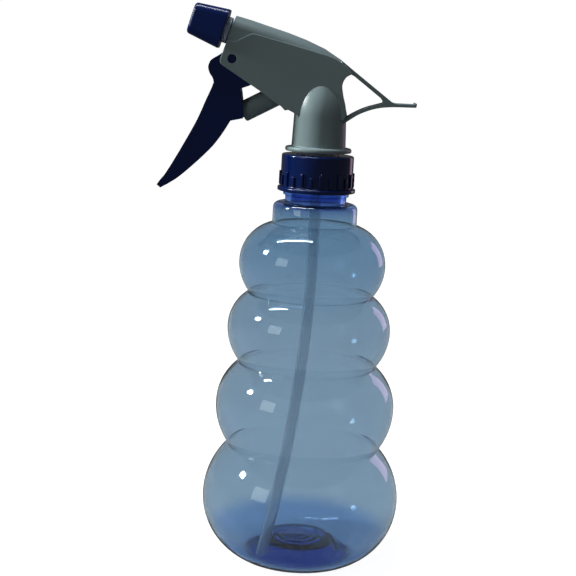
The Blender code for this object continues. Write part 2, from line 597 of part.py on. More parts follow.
def build_pump_body(head, pump, nozzle, material):
    flange_low = -DECK_THICKNESS - GAP - FLANGE_THICKNESS
    bead_low = BELL_FLANGE_RISE + GAP
    bead_r = BELL_FOOT_R - BELL_WALL - THREAD_GAP
    stem = spin_profile([
        (0.0, -INLET_PIPE_DROP), (INLET_PIPE_R, -INLET_PIPE_DROP), (INLET_PIPE_R, flange_low),
        (FINISH_R - GAP, flange_low), (FINISH_R - GAP, flange_low + FLANGE_THICKNESS),
        (STEM_NECK_R, flange_low + FLANGE_THICKNESS), (STEM_NECK_R, bead_low), (bead_r, bead_low),
        (bead_r, bead_low + SNAP_BEAD_HEIGHT), (STEM_R, bead_low + SNAP_BEAD_HEIGHT), (STEM_R, STEM_TOP),
        (0.0, STEM_TOP),
    ], BELL_STEPS)
    body = make_object("pump_body", stem, head, material)
    barrel = spin_profile([
        (0.0, CYLINDER_START), (CYLINDER_R, CYLINDER_START),
        (CYLINDER_R, CYLINDER_END + CYLINDER_END_WALL), (0.0, CYLINDER_END + CYLINDER_END_WALL),
    ], PUMP_STEPS)
    pipe = spin_profile([
        (0.0, -DISCHARGE_REAR), (DISCHARGE_R, -DISCHARGE_REAR), (DISCHARGE_R, -SPOUT_RING_REAR - 3 * GAP),
        (0.0, -SPOUT_RING_REAR - 3 * GAP),
    ], PUMP_STEPS)
    chamber = spin_profile([
        (0.0, CYLINDER_START - OVERRUN), (GLAND_POCKET_R, CYLINDER_START - OVERRUN),
        (GLAND_POCKET_R, CYLINDER_START + GLAND_LENGTH + 2 * GAP),
        (CYLINDER_BORE_R, CYLINDER_START + GLAND_LENGTH + 2 * GAP),
        (CYLINDER_BORE_R, CYLINDER_END), (0.0, CYLINDER_END),
    ], PUMP_STEPS)
    inlet_low = -INLET_PIPE_DROP - OVERRUN
    inlet = spin_profile([
        (0.0, inlet_low), (INLET_BORE_R, inlet_low), (INLET_BORE_R, INLET_BORE_TOP),
        (RISER_R, INLET_BORE_TOP), (RISER_R, RISER_TOP), (0.0, RISER_TOP),
    ], TINY_STEPS, 0.5)
    socket_rear = -SPOUT_PLUG_REAR - GAP
    bore_rear = DISCHARGE_PLUG - DISCHARGE_REAR
    passage = spin_profile([
        (0.0, bore_rear), (DISCHARGE_BORE_R, bore_rear),
        (DISCHARGE_BORE_R, socket_rear), (SPOUT_PLUG_R + GAP, socket_rear),
        (SPOUT_PLUG_R + GAP, 0.0), (0.0, 0.0),
    ], SMALL_STEPS, 0.5)
    port = spin_profile([(0.0, 0.0), (PORT_R, 0.0), (PORT_R, PORT_LENGTH), (0.0, PORT_LENGTH)], TINY_STEPS,
                        0.25)
    turn = Matrix.Rotation(-math.pi / 2, 4, "Y")
    bmesh.ops.transform(port, matrix=turn, verts=port.verts)
    bmesh.ops.translate(port, verts=port.verts, vec=(0.0, 0.0, CYLINDER_END - PORT_SETBACK))
    cut_or_join(body, make_object("barrel_tool", barrel, pump), "UNION")
    cut_or_join(body, make_object("pipe_tool", pipe, nozzle), "UNION")
    hollow = make_object("chamber_tool", chamber, pump)
    cut_or_join(hollow, make_object("inlet_tool", inlet, head), "UNION")
    cut_or_join(hollow, make_object("passage_tool", passage, nozzle), "UNION")
    cut_or_join(hollow, make_object("port_tool", port, pump), "UNION")
    cut_or_join(body, hollow, "DIFFERENCE")


def build_inlet_valve(head, materials):
    socket_r = TUBE_R + GAP
    socket_top = TUBE_TOP + GAP
    adapter = spin_profile([
        (socket_r, GAP - INLET_PIPE_DROP), (ADAPTER_R, GAP - INLET_PIPE_DROP), (ADAPTER_R, SEAT_TOP),
        (SEAT_RIM_R, SEAT_TOP), (SEAT_BORE_R, SEAT_RISE), (SEAT_BORE_R, socket_top), (socket_r, socket_top),
    ], SMALL_STEPS)
    make_object("tube_adapter", adapter, head, materials["natural"])

    flare = math.atan2(SEAT_RIM_R - SEAT_BORE_R, SEAT_TOP - SEAT_RISE)
    cone_tip = SEAT_RISE - SEAT_BORE_R / math.tan(flare)
    ball_z = cone_tip + (BALL_R + BALL_GAP) / math.sin(flare)
    sphere = bmesh.new()
    bmesh.ops.create_uvsphere(sphere, u_segments=TINY_STEPS, v_segments=8, radius=BALL_R)
    ball = make_object("inlet_ball", sphere, head, materials["steel"])
    ball.location = (0.0, 0.0, ball_z)

    low = SEAT_TOP + GAP
    high = INLET_BORE_TOP - GAP
    inner = ADAPTER_R - CAGE_WALL
    ring = spin_profile([(inner, low), (ADAPTER_R, low), (ADAPTER_R, high), (inner, high)], SMALL_STEPS)
    cage = make_object("ball_cage", ring, head, materials["natural"])
    bar = bmesh.new()
    bmesh.ops.create_cube(bar, size=1.0)
    bmesh.ops.scale(bar, vec=(2 * inner + CAGE_WALL, CAGE_BAR_SIZE, CAGE_BAR_SIZE), verts=bar.verts)
    bmesh.ops.translate(bar, vec=(0.0, 0.0, CAGE_BAR_RISE + CAGE_BAR_SIZE / 2), verts=bar.verts)
    cut_or_join(cage, make_object("cage_bar_tool", bar, head), "UNION")


def dip_tube_centre(z):
    """Centre line in the head's frame; z is above the table."""
    share = max(0.0, (TUBE_BEND_Z - z) / (TUBE_BEND_Z - TUBE_FOOT[2]))
    return Vector((TUBE_FOOT[0] * share ** 2, TUBE_FOOT[1] * share ** 2, z - HEAD_Z))


def build_dip_tube(head, material):
    top = HEAD_Z + TUBE_TOP
    levels = [top, TUBE_BEND_Z]
    bend_steps = 14
    levels += [TUBE_BEND_Z + (TUBE_FOOT[2] - TUBE_BEND_Z) * i / bend_steps for i in range(1, bend_steps + 1)]
    outer = []
    inner = []
    for z in levels:
        along = (dip_tube_centre(z - TUBE_R) - dip_tube_centre(z)).normalized()
        across = Vector((0.0, 1.0, 0.0)).cross(along).normalized()
        up = along.cross(across)
        outer.append(circle_section(dip_tube_centre(z), across, up, TUBE_R, TINY_STEPS))
        inner.append(circle_section(dip_tube_centre(z), across, up, TUBE_R - TUBE_WALL, TINY_STEPS))
    make_object("dip_tube", loft(outer + inner[::-1], closed=True), head, material)


def build_piston(pump, slide, materials):
    land_end = SEAL_LAND_START + SEAL_LAND_LENGTH
    profile = [
        (0.0, 0.0), (PISTON_R - PISTON_CHAMFER, 0.0), (PISTON_R, PISTON_CHAMFER),
        (PISTON_R, SEAL_LAND_START), (SEAL_LAND_R, SEAL_LAND_START), (SEAL_LAND_R, land_end),
        (SEAL_LIP_R, land_end), (SEAL_LIP_R, PISTON_LENGTH), (PISTON_BORE_R, PISTON_LENGTH),
        (PISTON_BORE_R, PISTON_BORE_START), (0.0, PISTON_BORE_START),
    ]
    make_object("piston", spin_profile(profile, SMALL_STEPS), slide, materials["grey"])
    seal_low = SEAL_LAND_START + GAP
    seal_high = land_end - GAP
    inner = SEAL_LAND_R + GAP
    outer = CYLINDER_BORE_R - GAP
    cup = [(inner, seal_low), (outer - GAP, seal_low), (outer, seal_high), (inner, seal_high)]
    make_object("piston_seal", spin_profile(cup, SMALL_STEPS), slide, materials["rubber"])

    spring_r = PISTON_BORE_R - GAP - SPRING_WIRE
    spring = coil(spring_r, SPRING_WIRE, PISTON_BORE_START + GAP, CYLINDER_END - GAP, SPRING_TURNS)
    make_object("return_spring", spring, slide, materials["steel"])

    low = CYLINDER_START + GAP
    high = low + GLAND_LENGTH
    inner = PISTON_R + GAP
    outer = GLAND_POCKET_R - GAP
    gland = [(inner, low), (outer, low), (outer, high), (inner, high)]
    make_object("cylinder_gland", spin_profile(gland, SMALL_STEPS), pump, materials["natural"])


def trigger_section(front, rear, floor, half):
    """One cross-section of the trigger's channel; the floor point is the channel's bottom."""
    inner = half - CHEEK_WALL
    loop = [
        (front, -half), (front, half), (rear, half), (rear, inner), (floor, inner), (floor, -inner),
        (rear, -inner), (rear, -half),
    ]
    return [Vector((p[0] * MM, y, p[1] * MM)) for p, y in loop]


def channel_floor(front, rear, skin):
    """The point a skin's thickness behind the front, on the way to the rear."""
    run = Vector(rear) - Vector(front)
    depth = min(skin, run.length - TIP_CHANNEL_DEPTH)
    return tuple(Vector(front) + run.normalized() * depth)


def build_trigger(frame, material):
    """The trigger's frame sits on its pivot, so the head's coordinates are shifted back by it."""
    half = PANEL_INNER - GAP
    lean = math.tan(math.radians(PAD_LEAN))
    sections = [trigger_section(f, r, channel_floor(f, r, TRIGGER_SKIN), half) for f, r in FINGER_SECTIONS]
    for front, rear in PAD_SECTIONS:
        height = (front[1] + 2 * rear[1]) / 3
        floor = (PAD_FACE[0] - (height - PAD_FACE[1]) * lean, height)
        sections.append(trigger_section(front, rear, floor, half))
    pivot = points([TRIGGER_PIVOT])[0]
    shift = Vector((-pivot[0], 0.0, -pivot[1]))
    pump_dir = Vector((math.cos(math.radians(PUMP_TILT)), math.sin(math.radians(PUMP_TILT))))
    below = Vector((pump_dir[1], -pump_dir[0]))
    start = Vector(points([PUMP_START])[0])
    cam = start - pump_dir * (CAM_R + GAP) + below * CAM_OFFSET
    pieces = {
        "trigger": loft(sections),
        "trigger_lug_tool": prism(points(LUG_OUTLINE), half),
        "trunnion_tool": rod_along_y(pivot[0], pivot[1], TRUNNION_R, PANEL_HALF - GAP, TINY_STEPS),
        "cam_tool": rod_along_y(cam[0], cam[1], CAM_R, half - CHEEK_WALL / 2, TINY_STEPS),
    }
    objects = {}
    for name, bm in pieces.items():
        bmesh.ops.translate(bm, verts=bm.verts, vec=shift)
        objects[name] = make_object(name, bm, frame, material if name == "trigger" else None)
    for name in ("trigger_lug_tool", "trunnion_tool", "cam_tool"):
        cut_or_join(objects["trigger"], objects[name], "UNION")


def build_spout(nozzle, material):
    front = SPOUT_FRONT
    profile = [
        (SPOUT_BORE_R, -SPOUT_PLUG_REAR), (SPOUT_PLUG_R, -SPOUT_PLUG_REAR), (SPOUT_PLUG_R, -SPOUT_RING_REAR),
        (SPOUT_RING_R, -SPOUT_RING_REAR), (SPOUT_RING_R, -GAP), (SPOUT_CORE_R, -GAP),
        (SPOUT_CORE_R, front), (VALVE_CHAMBER_R, front), (VALVE_CHAMBER_R, VALVE_SEAT),
        (SPOUT_BORE_R, VALVE_SEAT),
    ]
    spout = make_object("spout", spin_profile(profile, SMALL_STEPS), nozzle, material)
    ridge = thread_ridge(SPOUT_CORE_R, SPOUT_CORE_R + NOZZLE_THREAD_DEPTH, NOZZLE_THREAD_WIDTH,
                         NOZZLE_THREAD_PITCH, NOZZLE_THREAD_START, 0.0, NOZZLE_THREAD_TURNS, SMALL_STEPS)
    cut_or_join(spout, make_object("spout_thread_tool", ridge, nozzle), "UNION")


def build_outlet_valve(nozzle, materials):
    low = VALVE_SEAT + BALL_GAP
    stem_end = low + VALVE_HEAD_THICKNESS + VALVE_STEM_LENGTH
    poppet = [
        (0.0, low), (VALVE_HEAD_R, low), (VALVE_HEAD_R, low + VALVE_HEAD_THICKNESS),
        (VALVE_STEM_R, low + VALVE_HEAD_THICKNESS), (VALVE_STEM_R, stem_end), (0.0, stem_end),
    ]
    make_object("outlet_valve", spin_profile(poppet, TINY_STEPS), nozzle, materials["rubber"])
    spring = coil(OUTLET_COIL_R, OUTLET_WIRE, low + VALVE_HEAD_THICKNESS + BALL_GAP, CORE_REAR - BALL_GAP,
                  OUTLET_TURNS)
    make_object("outlet_spring", spring, nozzle, materials["steel"])


def build_swirl_core(nozzle, material):
    radius = VALVE_CHAMBER_R - GAP
    front = SPOUT_FRONT - GAP
    plug = spin_profile([(0.0, CORE_REAR), (radius, CORE_REAR), (radius, front), (0.0, front)], SMALL_STEPS)
    core = make_object("swirl_core", plug, nozzle, material)
    grooves = bmesh.new()
    for i in range(CORE_GROOVES):
        cube = bmesh.ops.create_cube(grooves, size=1.0)["verts"]
        bmesh.ops.scale(grooves, vec=(2 * CORE_GROOVE, CORE_GROOVE, CAP_LENGTH), verts=cube)
        bmesh.ops.translate(grooves, vec=(radius, 0.0, CAP_LENGTH / 2), verts=cube)
        turn = Matrix.Rotation(math.tau * i / CORE_GROOVES, 3, "Z")
        bmesh.ops.rotate(grooves, cent=(0, 0, 0), matrix=turn, verts=cube)
    cut_or_join(core, make_object("core_grooves_tool", grooves, nozzle), "DIFFERENCE")


def square_loop(half, height, count):
    """A square with rounded corners, as one smooth superellipse."""
    loop = []
    for i in range(count):
        angle = math.tau * i / count
        c = math.cos(angle)
        s = math.sin(angle)
        r = half / (abs(c) ** CAP_SQUARENESS + abs(s) ** CAP_SQUARENESS) ** (1 / CAP_SQUARENESS)
        loop.append((r * c, r * s, height))
    return loop


def round_loop(radius, height, count):
    return [(radius * math.cos(math.tau * i / count), radius * math.sin(math.tau * i / count), height)
            for i in range(count)]


def build_nozzle_cap(cap_frame, seal_parent, materials):
    count = CAP_STEPS
    inner_face = CAP_LENGTH - CAP_FRONT_WALL
    edge = CAP_EDGE
    loops = [
        round_loop(CAP_BORE_R, 0.0, count), square_loop(CAP_REAR_HALF - edge / 2, 0.0, count),
        square_loop(CAP_REAR_HALF, edge / 2, count), square_loop(CAP_FRONT_HALF, CAP_LENGTH - edge, count),
        square_loop(CAP_FRONT_HALF - edge, CAP_LENGTH, count), round_loop(CAP_DIMPLE_R, CAP_LENGTH, count),
        round_loop(CAP_DIMPLE_R * 0.8, CAP_LENGTH - CAP_DIMPLE_DEPTH, count),
        round_loop(ORIFICE_R, CAP_LENGTH - CAP_DIMPLE_DEPTH, count), round_loop(ORIFICE_R, inner_face, count),
        round_loop(CAP_BORE_R, inner_face, count),
    ]
    cap = make_object("nozzle_cap", loft(loops, closed=True), cap_frame, materials["navy"])
    crest = SPOUT_CORE_R + NOZZLE_THREAD_GAP
    ridge = thread_ridge(CAP_BORE_R, crest, NOZZLE_THREAD_WIDTH, NOZZLE_THREAD_PITCH,
                         NOZZLE_THREAD_START, 0.5, NOZZLE_THREAD_TURNS, SMALL_STEPS)
    cut_or_join(cap, make_object("cap_thread_tool", ridge, cap_frame), "UNION")

    high = inner_face - GAP
    low = high - NOZZLE_SEAL_THICKNESS
    outer = CAP_BORE_R - GAP
    ring = [(NOZZLE_SEAL_BORE_R, low), (outer, low), (outer, high), (NOZZLE_SEAL_BORE_R, high)]
    make_object("nozzle_seal", spin_profile(ring, SMALL_STEPS), seal_parent, materials["rubber"])


def centre_on_footprint(root):
    """Slide the object along X until the middle of its box stands over the origin."""
    graph = bpy.context.evaluated_depsgraph_get()
    xs = []
    for obj in bpy.data.objects:
        if obj.type == "MESH" and not obj.hide_render:
            seen = obj.evaluated_get(graph)
            xs += [(seen.matrix_world @ Vector(corner)).x for corner in seen.bound_box]
    root.location.x = -(min(xs) + max(xs)) / 2


def main():
    clear_scene()
    materials = {
        "pet": make_material("blue PET", (0.10, 0.17, 0.36), 0.12),
        "navy": make_material("navy polypropylene", (0.010, 0.014, 0.055), 0.28),
        "grey": make_material("grey polypropylene", (0.115, 0.135, 0.135), 0.42),
        "natural": make_material("natural polypropylene", (0.62, 0.68, 0.76), 0.35),
        "tube": make_material("polyethylene tube", (0.30, 0.34, 0.50), 0.35),
        "rubber": make_material("soft seal", (0.55, 0.55, 0.52), 0.6),
        "steel": make_material("stainless steel", (0.62, 0.63, 0.64), 0.25, 1.0),
    }
    root = make_frame("bottle_frame", (0.0, 0.0, 0.0))
    head = make_frame("head_frame", (0.0, 0.0, HEAD_Z), root)
    collar = make_frame("collar_frame", (0.0, 0.0, 0.0), head)
    pump_x, pump_z = points([PUMP_START])[0]
    pump = make_frame("pump_frame", (pump_x, 0.0, pump_z), head, 90.0 - PUMP_TILT)
    piston = make_frame("piston_frame", (0.0, 0.0, 0.0), pump)
    nozzle_x, nozzle_z = points([NOZZLE_START])[0]
    nozzle = make_frame("nozzle_frame", (nozzle_x, 0.0, nozzle_z), head, NOZZLE_TILT - 90.0)
    cap = make_frame("cap_frame", (0.0, 0.0, 0.0), nozzle)
    pivot_x, pivot_z = points([TRIGGER_PIVOT])[0]
    trigger = make_frame("trigger_frame", (pivot_x, 0.0, pivot_z), head)

    build_bottle(root, materials["pet"])
    build_collar(collar, materials["navy"])
    build_gasket(head, materials["rubber"])
    build_shroud(head, pump, materials["grey"])
    build_pump_body(head, pump, nozzle, materials["natural"])
    build_inlet_valve(head, materials)
    build_dip_tube(head, materials["tube"])
    build_piston(pump, piston, materials)
    build_trigger(trigger, materials["navy"])
    build_spout(nozzle, materials["natural"])
    build_outlet_valve(nozzle, materials)
    build_swirl_core(nozzle, materials["natural"])
    build_nozzle_cap(cap, nozzle, materials)
    bpy.context.view_layer.update()
    centre_on_footprint(root)


main()
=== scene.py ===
"""Trigger spray bottle: a clear blue bottle of four bulges under a grey and navy hand sprayer.

Each piece of the sprayer has its own operator; the panel in the 3D view's sidebar lists them in
the order in which they are built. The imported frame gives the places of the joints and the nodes.
"""
import json
import math

import bmesh
import bpy
from bpy.props import FloatProperty, FloatVectorProperty, IntProperty, PointerProperty
from bpy.types import Operator, Panel, PropertyGroup
from mathutils import Matrix, Quaternion, Vector


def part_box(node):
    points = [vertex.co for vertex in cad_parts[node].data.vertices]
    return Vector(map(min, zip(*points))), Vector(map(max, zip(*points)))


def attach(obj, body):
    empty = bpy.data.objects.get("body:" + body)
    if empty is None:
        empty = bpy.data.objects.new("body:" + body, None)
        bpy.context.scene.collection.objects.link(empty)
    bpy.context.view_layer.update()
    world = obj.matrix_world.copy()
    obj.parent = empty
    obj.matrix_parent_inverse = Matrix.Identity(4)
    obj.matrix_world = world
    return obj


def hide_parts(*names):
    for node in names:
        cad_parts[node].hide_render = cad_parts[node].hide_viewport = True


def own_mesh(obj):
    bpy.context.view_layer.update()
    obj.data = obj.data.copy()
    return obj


bl_info = {
    "name": "Trigger Spray Bottle",
    "version": (1, 0, 0),
    "blender": (4, 5, 0),
    "location": "3D View > Sidebar > Sprayer",
    "description": "Builds a bulged spray bottle with its trigger sprayer, finishes and studio",
    "category": "Add Mesh",
}

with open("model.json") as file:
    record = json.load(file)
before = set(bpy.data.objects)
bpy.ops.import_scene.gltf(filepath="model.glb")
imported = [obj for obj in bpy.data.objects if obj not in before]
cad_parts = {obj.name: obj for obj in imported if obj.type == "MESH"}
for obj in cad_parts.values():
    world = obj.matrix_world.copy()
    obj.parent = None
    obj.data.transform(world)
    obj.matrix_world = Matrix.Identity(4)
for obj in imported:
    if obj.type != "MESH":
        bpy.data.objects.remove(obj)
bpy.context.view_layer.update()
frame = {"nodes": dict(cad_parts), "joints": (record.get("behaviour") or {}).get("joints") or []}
MM = 0.001
NEAR = 1e-6
UP = Vector((0, 0, 1))
ACROSS = Vector((0, 1, 0))

COLLAR_LOW, COLLAR_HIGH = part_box("closure_collar")
HEAD = Vector(((COLLAR_LOW.x + COLLAR_HIGH.x) / 2, 0, COLLAR_HIGH.z))
STAND = Vector((HEAD.x, 0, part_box("bottle")[0].z))
JOINTS = {joint["name"]: joint for joint in frame["joints"]}
NOZZLE_AXIS = Vector(JOINTS["nozzle_turn"]["axis"]).normalized()
NOZZLE = Vector(JOINTS["nozzle_turn"]["pos_m"])
PUMP_AXIS = Vector(JOINTS["piston_slide"]["axis"]).normalized()
PIVOT = Vector(JOINTS["trigger_pivot"]["pos_m"])
PUMP_NOSE = HEAD + Vector((-33.4 * MM, 0, 17.2 * MM))


# ---- sizes and colours

def length(name, description, millimetres):
    return FloatProperty(name=name, description=description, default=millimetres * MM,
                         unit="LENGTH", subtype="DISTANCE", precision=5)


def colour(name, description, default):
    return FloatVectorProperty(name=name, description=description, default=default, size=3,
                               subtype="COLOR", min=0.0, max=1.0)


class BottleSizes(PropertyGroup):
    wall: length("Wall", "Thickness of the blown wall", 0.8)
    waist_round: length("Waist rounding", "Fillet in the groove between two bulges", 1.1)
    foot_r: length("Foot radius", "Outer edge of the standing ring", 25.0)
    foot_width: length("Foot width", "Width of the standing ring", 4.0)
    push_up: length("Push-up", "Height of the base's centre over the table", 7.8)
    drum_r: length("Drum radius", "Radius of the drum under the neck", 18.3)
    finish_r: length("Finish radius", "Outside of the neck finish, under its thread", 12.6)
    mouth_r: length("Mouth radius", "Inside of the mouth", 10.8)
    thread_pitch: length("Thread pitch", "Rise of the neck thread in a turn", 4.2)
    tube_r: length("Tube radius", "Outside of the dip tube", 2.5)
    tube_wall: length("Tube wall", "Wall of the dip tube", 0.7)
    steps: IntProperty(name="Steps", description="Facets round the bottle", default=112, min=24)


class SprayerSizes(PropertyGroup):
    bell_r: length("Bell radius", "Radius of the shroud's bell under its dome", 11.2)
    bell_foot_r: length("Bell foot", "Radius of the bell over its flange", 11.65)
    bell_flange_r: length("Bell flange", "Radius of the flange on the collar", 14.25)
    panel_half: length("Panel half width", "Half the width over the side panels", 7.2)
    panel_wall: length("Panel wall", "Thickness of a side panel", 0.8)
    spine_half: length("Spine half width", "Half the width of the rounded spine", 6.0)
    spine_wall: length("Spine wall", "Thickness of the spine", 1.0)
    tail_half: length("Tail half width", "Half the width of the tail", 5.5)
    moulded_edge: length("Moulded edge", "Rounding of the shroud's outer edges", 0.45)
    collar_r: length("Collar radius", "Outside of the collar between its ribs", 15.55)
    collar_bore: length("Collar bore", "Inside of the collar", 14.0)
    rib_depth: length("Rib depth", "How far the grip ribs stand out", 0.75)
    ribs: IntProperty(name="Ribs", description="Grip ribs round the collar", default=24, min=6)
    trigger_half: length("Trigger half width", "Half the width of the trigger", 6.1)
    cheek: length("Cheek", "Thickness of the trigger's cheeks", 1.4)
    trunnion_r: length("Trunnion radius", "Radius of the trigger's pivot pins", 1.6)
    piston_r: length("Piston radius", "Outside of the piston", 4.4)
    cap_length: length("Cap length", "Length of the nozzle cap", 14.7)
    cap_rear: length("Cap rear", "Half the width of the nozzle cap's rear", 8.45)
    cap_front: length("Cap front", "Half the width of the nozzle cap's front", 6.62)


class Finishes(PropertyGroup):
    pet: colour("Bottle", "Tint of one wall of the lower bulges", (0.385, 0.483, 0.567))
    pet_upper: colour("Upper bottle", "Tint of one wall of the upper bulges", (0.305, 0.432, 0.55))
    pet_neck: colour("Neck", "Tint of the thick wall of the neck", (0.055, 0.14, 0.47))
    pet_heel: colour("Heel", "Tint of the wall under the lowest bulge", (0.18, 0.31, 0.53))
    pet_base: colour("Base", "Tint of the thick push-up", (0.002, 0.036, 0.29))
    navy: colour("Navy", "Collar, trigger and nozzle cap", (0.0005, 0.010, 0.080))
    grey: colour("Grey", "Shroud and piston", (0.225, 0.293, 0.310))
    natural: colour("Natural", "Uncoloured polypropylene", (0.52, 0.62, 0.74))
    tube: colour("Tube", "Polyethylene dip tube", (0.90, 0.92, 0.95))
    rubber: colour("Seals", "Soft seals", (0.46, 0.46, 0.43))
    steel: colour("Steel", "Springs and ball", (0.60, 0.61, 0.62))


# ---- modelling by hand

def activate(obj):
    bpy.ops.object.select_all(action="DESELECT")
    obj.select_set(True)
    bpy.context.view_layer.objects.active = obj


def edit(obj):
    activate(obj)
    bpy.ops.object.mode_set(mode="EDIT")


def start_piece(name):
    """Name the new primitive, bring its origin to the world's and open it for editing."""
    obj = bpy.context.object
    obj.name = name
    obj.data.name = name
    activate(obj)
    bpy.ops.object.transform_apply(location=True, rotation=True, scale=True)
    bpy.ops.object.mode_set(mode="EDIT")
    return obj


def pick(obj, kind, test):
    """Select the vertices, edges or faces of the open piece whose middle passes a test."""
    bpy.ops.mesh.select_mode(type=kind)
    bpy.ops.mesh.select_all(action="DESELECT")
    mesh = bmesh.from_edit_mesh(obj.data)
    if kind == "VERT":
        for vert in mesh.verts:
            vert.select = test(vert.co)
    elif kind == "EDGE":
        for edge in mesh.edges:
            edge.select_set(test((edge.verts[0].co + edge.verts[1].co) / 2, edge))
    else:
        for face in mesh.faces:
            face.select_set(test(face.calc_center_median(), face.normal))
    mesh.select_flush_mode()
    bmesh.update_edit_mesh(obj.data)


def extrude(step):
    """Pull a copy of what is selected along a step, joined by new edges and faces."""
    bpy.ops.mesh.extrude_region_move(TRANSFORM_OT_translate={"value": step})


def round_edges(obj, radius, segments, test, clamp=False):
    """Bevel the edges of the open piece whose middle passes a test."""
    pick(obj, "EDGE", test)
    bpy.ops.mesh.bevel(offset=radius, segments=segments, affect="EDGES", clamp_overlap=clamp)


def clean(obj, within=NEAR):
    """Weld the open piece, turn its faces outward and close the edit."""
    bpy.ops.mesh.select_mode(type="VERT")
    bpy.ops.mesh.select_all(action="SELECT")
    bpy.ops.mesh.remove_doubles(threshold=within)
    bpy.ops.mesh.normals_make_consistent(inside=False)
    bpy.ops.object.mode_set(mode="OBJECT")
    return obj


def smooth(obj, degrees=32, flats=False):
    """Shade the round faces smooth; flats keeps wide flat faces from shading like round ones."""
    activate(obj)
    bpy.ops.object.shade_smooth_by_angle(angle=math.radians(degrees))
    if flats:
        apply_modifier(obj, "WEIGHTED_NORMAL", keep_sharp=True)
    return obj


def soften(outline, closed=False):
    """Round the corners that carry a radius as their third number."""
    result = []
    count = len(outline)
    for i, corner in enumerate(outline):
        radius = corner[2] if len(corner) > 2 else 0.0
        here = Vector(corner[:2])
        if radius <= 0 or (not closed and i in (0, count - 1)):
            result.append(here)
            continue
        before = Vector(outline[i - 1][:2]) - here
        after = Vector(outline[(i + 1) % count][:2]) - here
        reach = min(radius, before.length * 0.49, after.length * 0.49)
        start = here + before.normalized() * reach
        end = here + after.normalized() * reach
        for step in range(5):
            t = step / 4
            result.append(start * (1 - t) ** 2 + here * 2 * t * (1 - t) + end * t ** 2)
    return [tuple(point) for point in result]


def trace(name, path, close):
    """Draw a wire through points, by extruding one vertex from each to the next."""
    here = path[0]
    bpy.ops.mesh.primitive_plane_add(size=MM, location=here)
    obj = start_piece(name)
    bpy.ops.mesh.select_all(action="SELECT")
    bpy.ops.mesh.merge(type="CENTER")
    for point in path[1:]:
        extrude(point - here)
        here = point
    if close:
        ends = (path[0], path[-1])
        pick(obj, "VERT", lambda co: min((co - end).length for end in ends) < 1e-7)
        bpy.ops.mesh.edge_face_add()
    bpy.ops.mesh.select_all(action="SELECT")
    return obj


def flat_face(name, path):
    """A flat face with a closed path as its rim, left selected."""
    obj = trace(name, path, True)
    bpy.ops.mesh.edge_face_add()
    return obj


def lathe(name, profile, steps, base=STAND, axis=UP):
    """Spin a (radius, height) profile about an axis; one that starts off the axis is closed."""
    side = axis.orthogonal().normalized() if axis != UP else Vector((1, 0, 0))
    path = [base + side * r + axis * z for r, z in profile]
    obj = trace(name, path, profile[0][0] > 0)
    bpy.ops.mesh.spin(steps=steps, angle=math.tau, center=base, axis=axis, use_auto_merge=True)
    return clean(obj)


def at_side(half):
    """A test for edges that lie flat in a piece's left or right side."""
    return lambda mid, edge: abs(abs(mid.y) - half) < NEAR


def plate(name, outline, half, edge=0.0):
    """A side outline in head millimetres, thickened to both sides, with its rims bevelled."""
    obj = flat_face(name, [head_point(x, z, -half) for x, z in outline])
    extrude(ACROSS * 2 * half)
    clean(obj)
    if edge:
        edit(obj)
        round_edges(obj, edge, 2, at_side(half), clamp=True)
        clean(obj)
    return obj


def head_point(x, z, y=0.0):
    """A point given in millimetres from the centre of the collar's top."""
    return HEAD + Vector((x * MM, y, z * MM))


def apply_modifier(obj, kind, **settings):
    activate(obj)
    modifier = obj.modifiers.new(kind.title(), kind)
    for key, value in settings.items():
        setattr(modifier, key, value)
    bpy.ops.object.modifier_apply(modifier=modifier.name)


def combine(target, tool, operation):
    """Join or cut with another piece, which is used up."""
    apply_modifier(target, "BOOLEAN", operation=operation, object=tool, solver="EXACT")
    bpy.data.objects.remove(tool, do_unlink=True)


def cross_pin(name, centre, radius, half, facets):
    """A round pin across the sprayer, left open for editing."""
    bpy.ops.mesh.primitive_cylinder_add(vertices=facets, radius=radius, depth=2 * half,
                                        location=centre, rotation=(math.pi / 2, 0, 0))
    return start_piece(name)


def turn_selected(angle, centre, axis="Z"):
    """Turn what is selected; without a window the operator counts angles the other way."""
    bpy.ops.transform.rotate(value=-angle, orient_axis=axis, center_override=centre)


def screw_up(obj, centre, pitch, turns, steps):
    """Wind the piece's flat section upward round a centre into a closed helix."""
    edit(obj)
    bpy.ops.mesh.select_mode(type="FACE")
    bpy.ops.mesh.select_all(action="SELECT")
    for _ in range(round(turns * steps)):
        extrude(UP * pitch / steps)
        turn_selected(math.tau / steps, centre)
    clean(obj)


def lay_on(obj, start, axis):
    """Move a piece made upright over the world's origin onto an axis of the sprayer."""
    upright = axis.to_track_quat("Z", "Y").to_matrix().to_4x4()
    obj.matrix_world = Matrix.Translation(start) @ upright
    activate(obj)
    bpy.ops.object.transform_apply(location=True, rotation=True, scale=True)


def finish_piece(obj, finish, body, *nodes, slot):
    """Give a piece its finish and its body, and hide the nodes that it stands for; slot is not
    used.
    """
    obj.data.materials.clear()
    obj.data.materials.append(material(finish))
    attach(obj, body)
    if nodes:
        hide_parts(*nodes)


def arc(centre, radius, start, end, steps):
    """Points on an arc between two angles in degrees."""
    angles = [math.radians(start + (end - start) * i / steps) for i in range(steps + 1)]
    return [(centre[0] + radius * math.cos(a), centre[1] + radius * math.sin(a)) for a in angles]


# ---- shader expressions

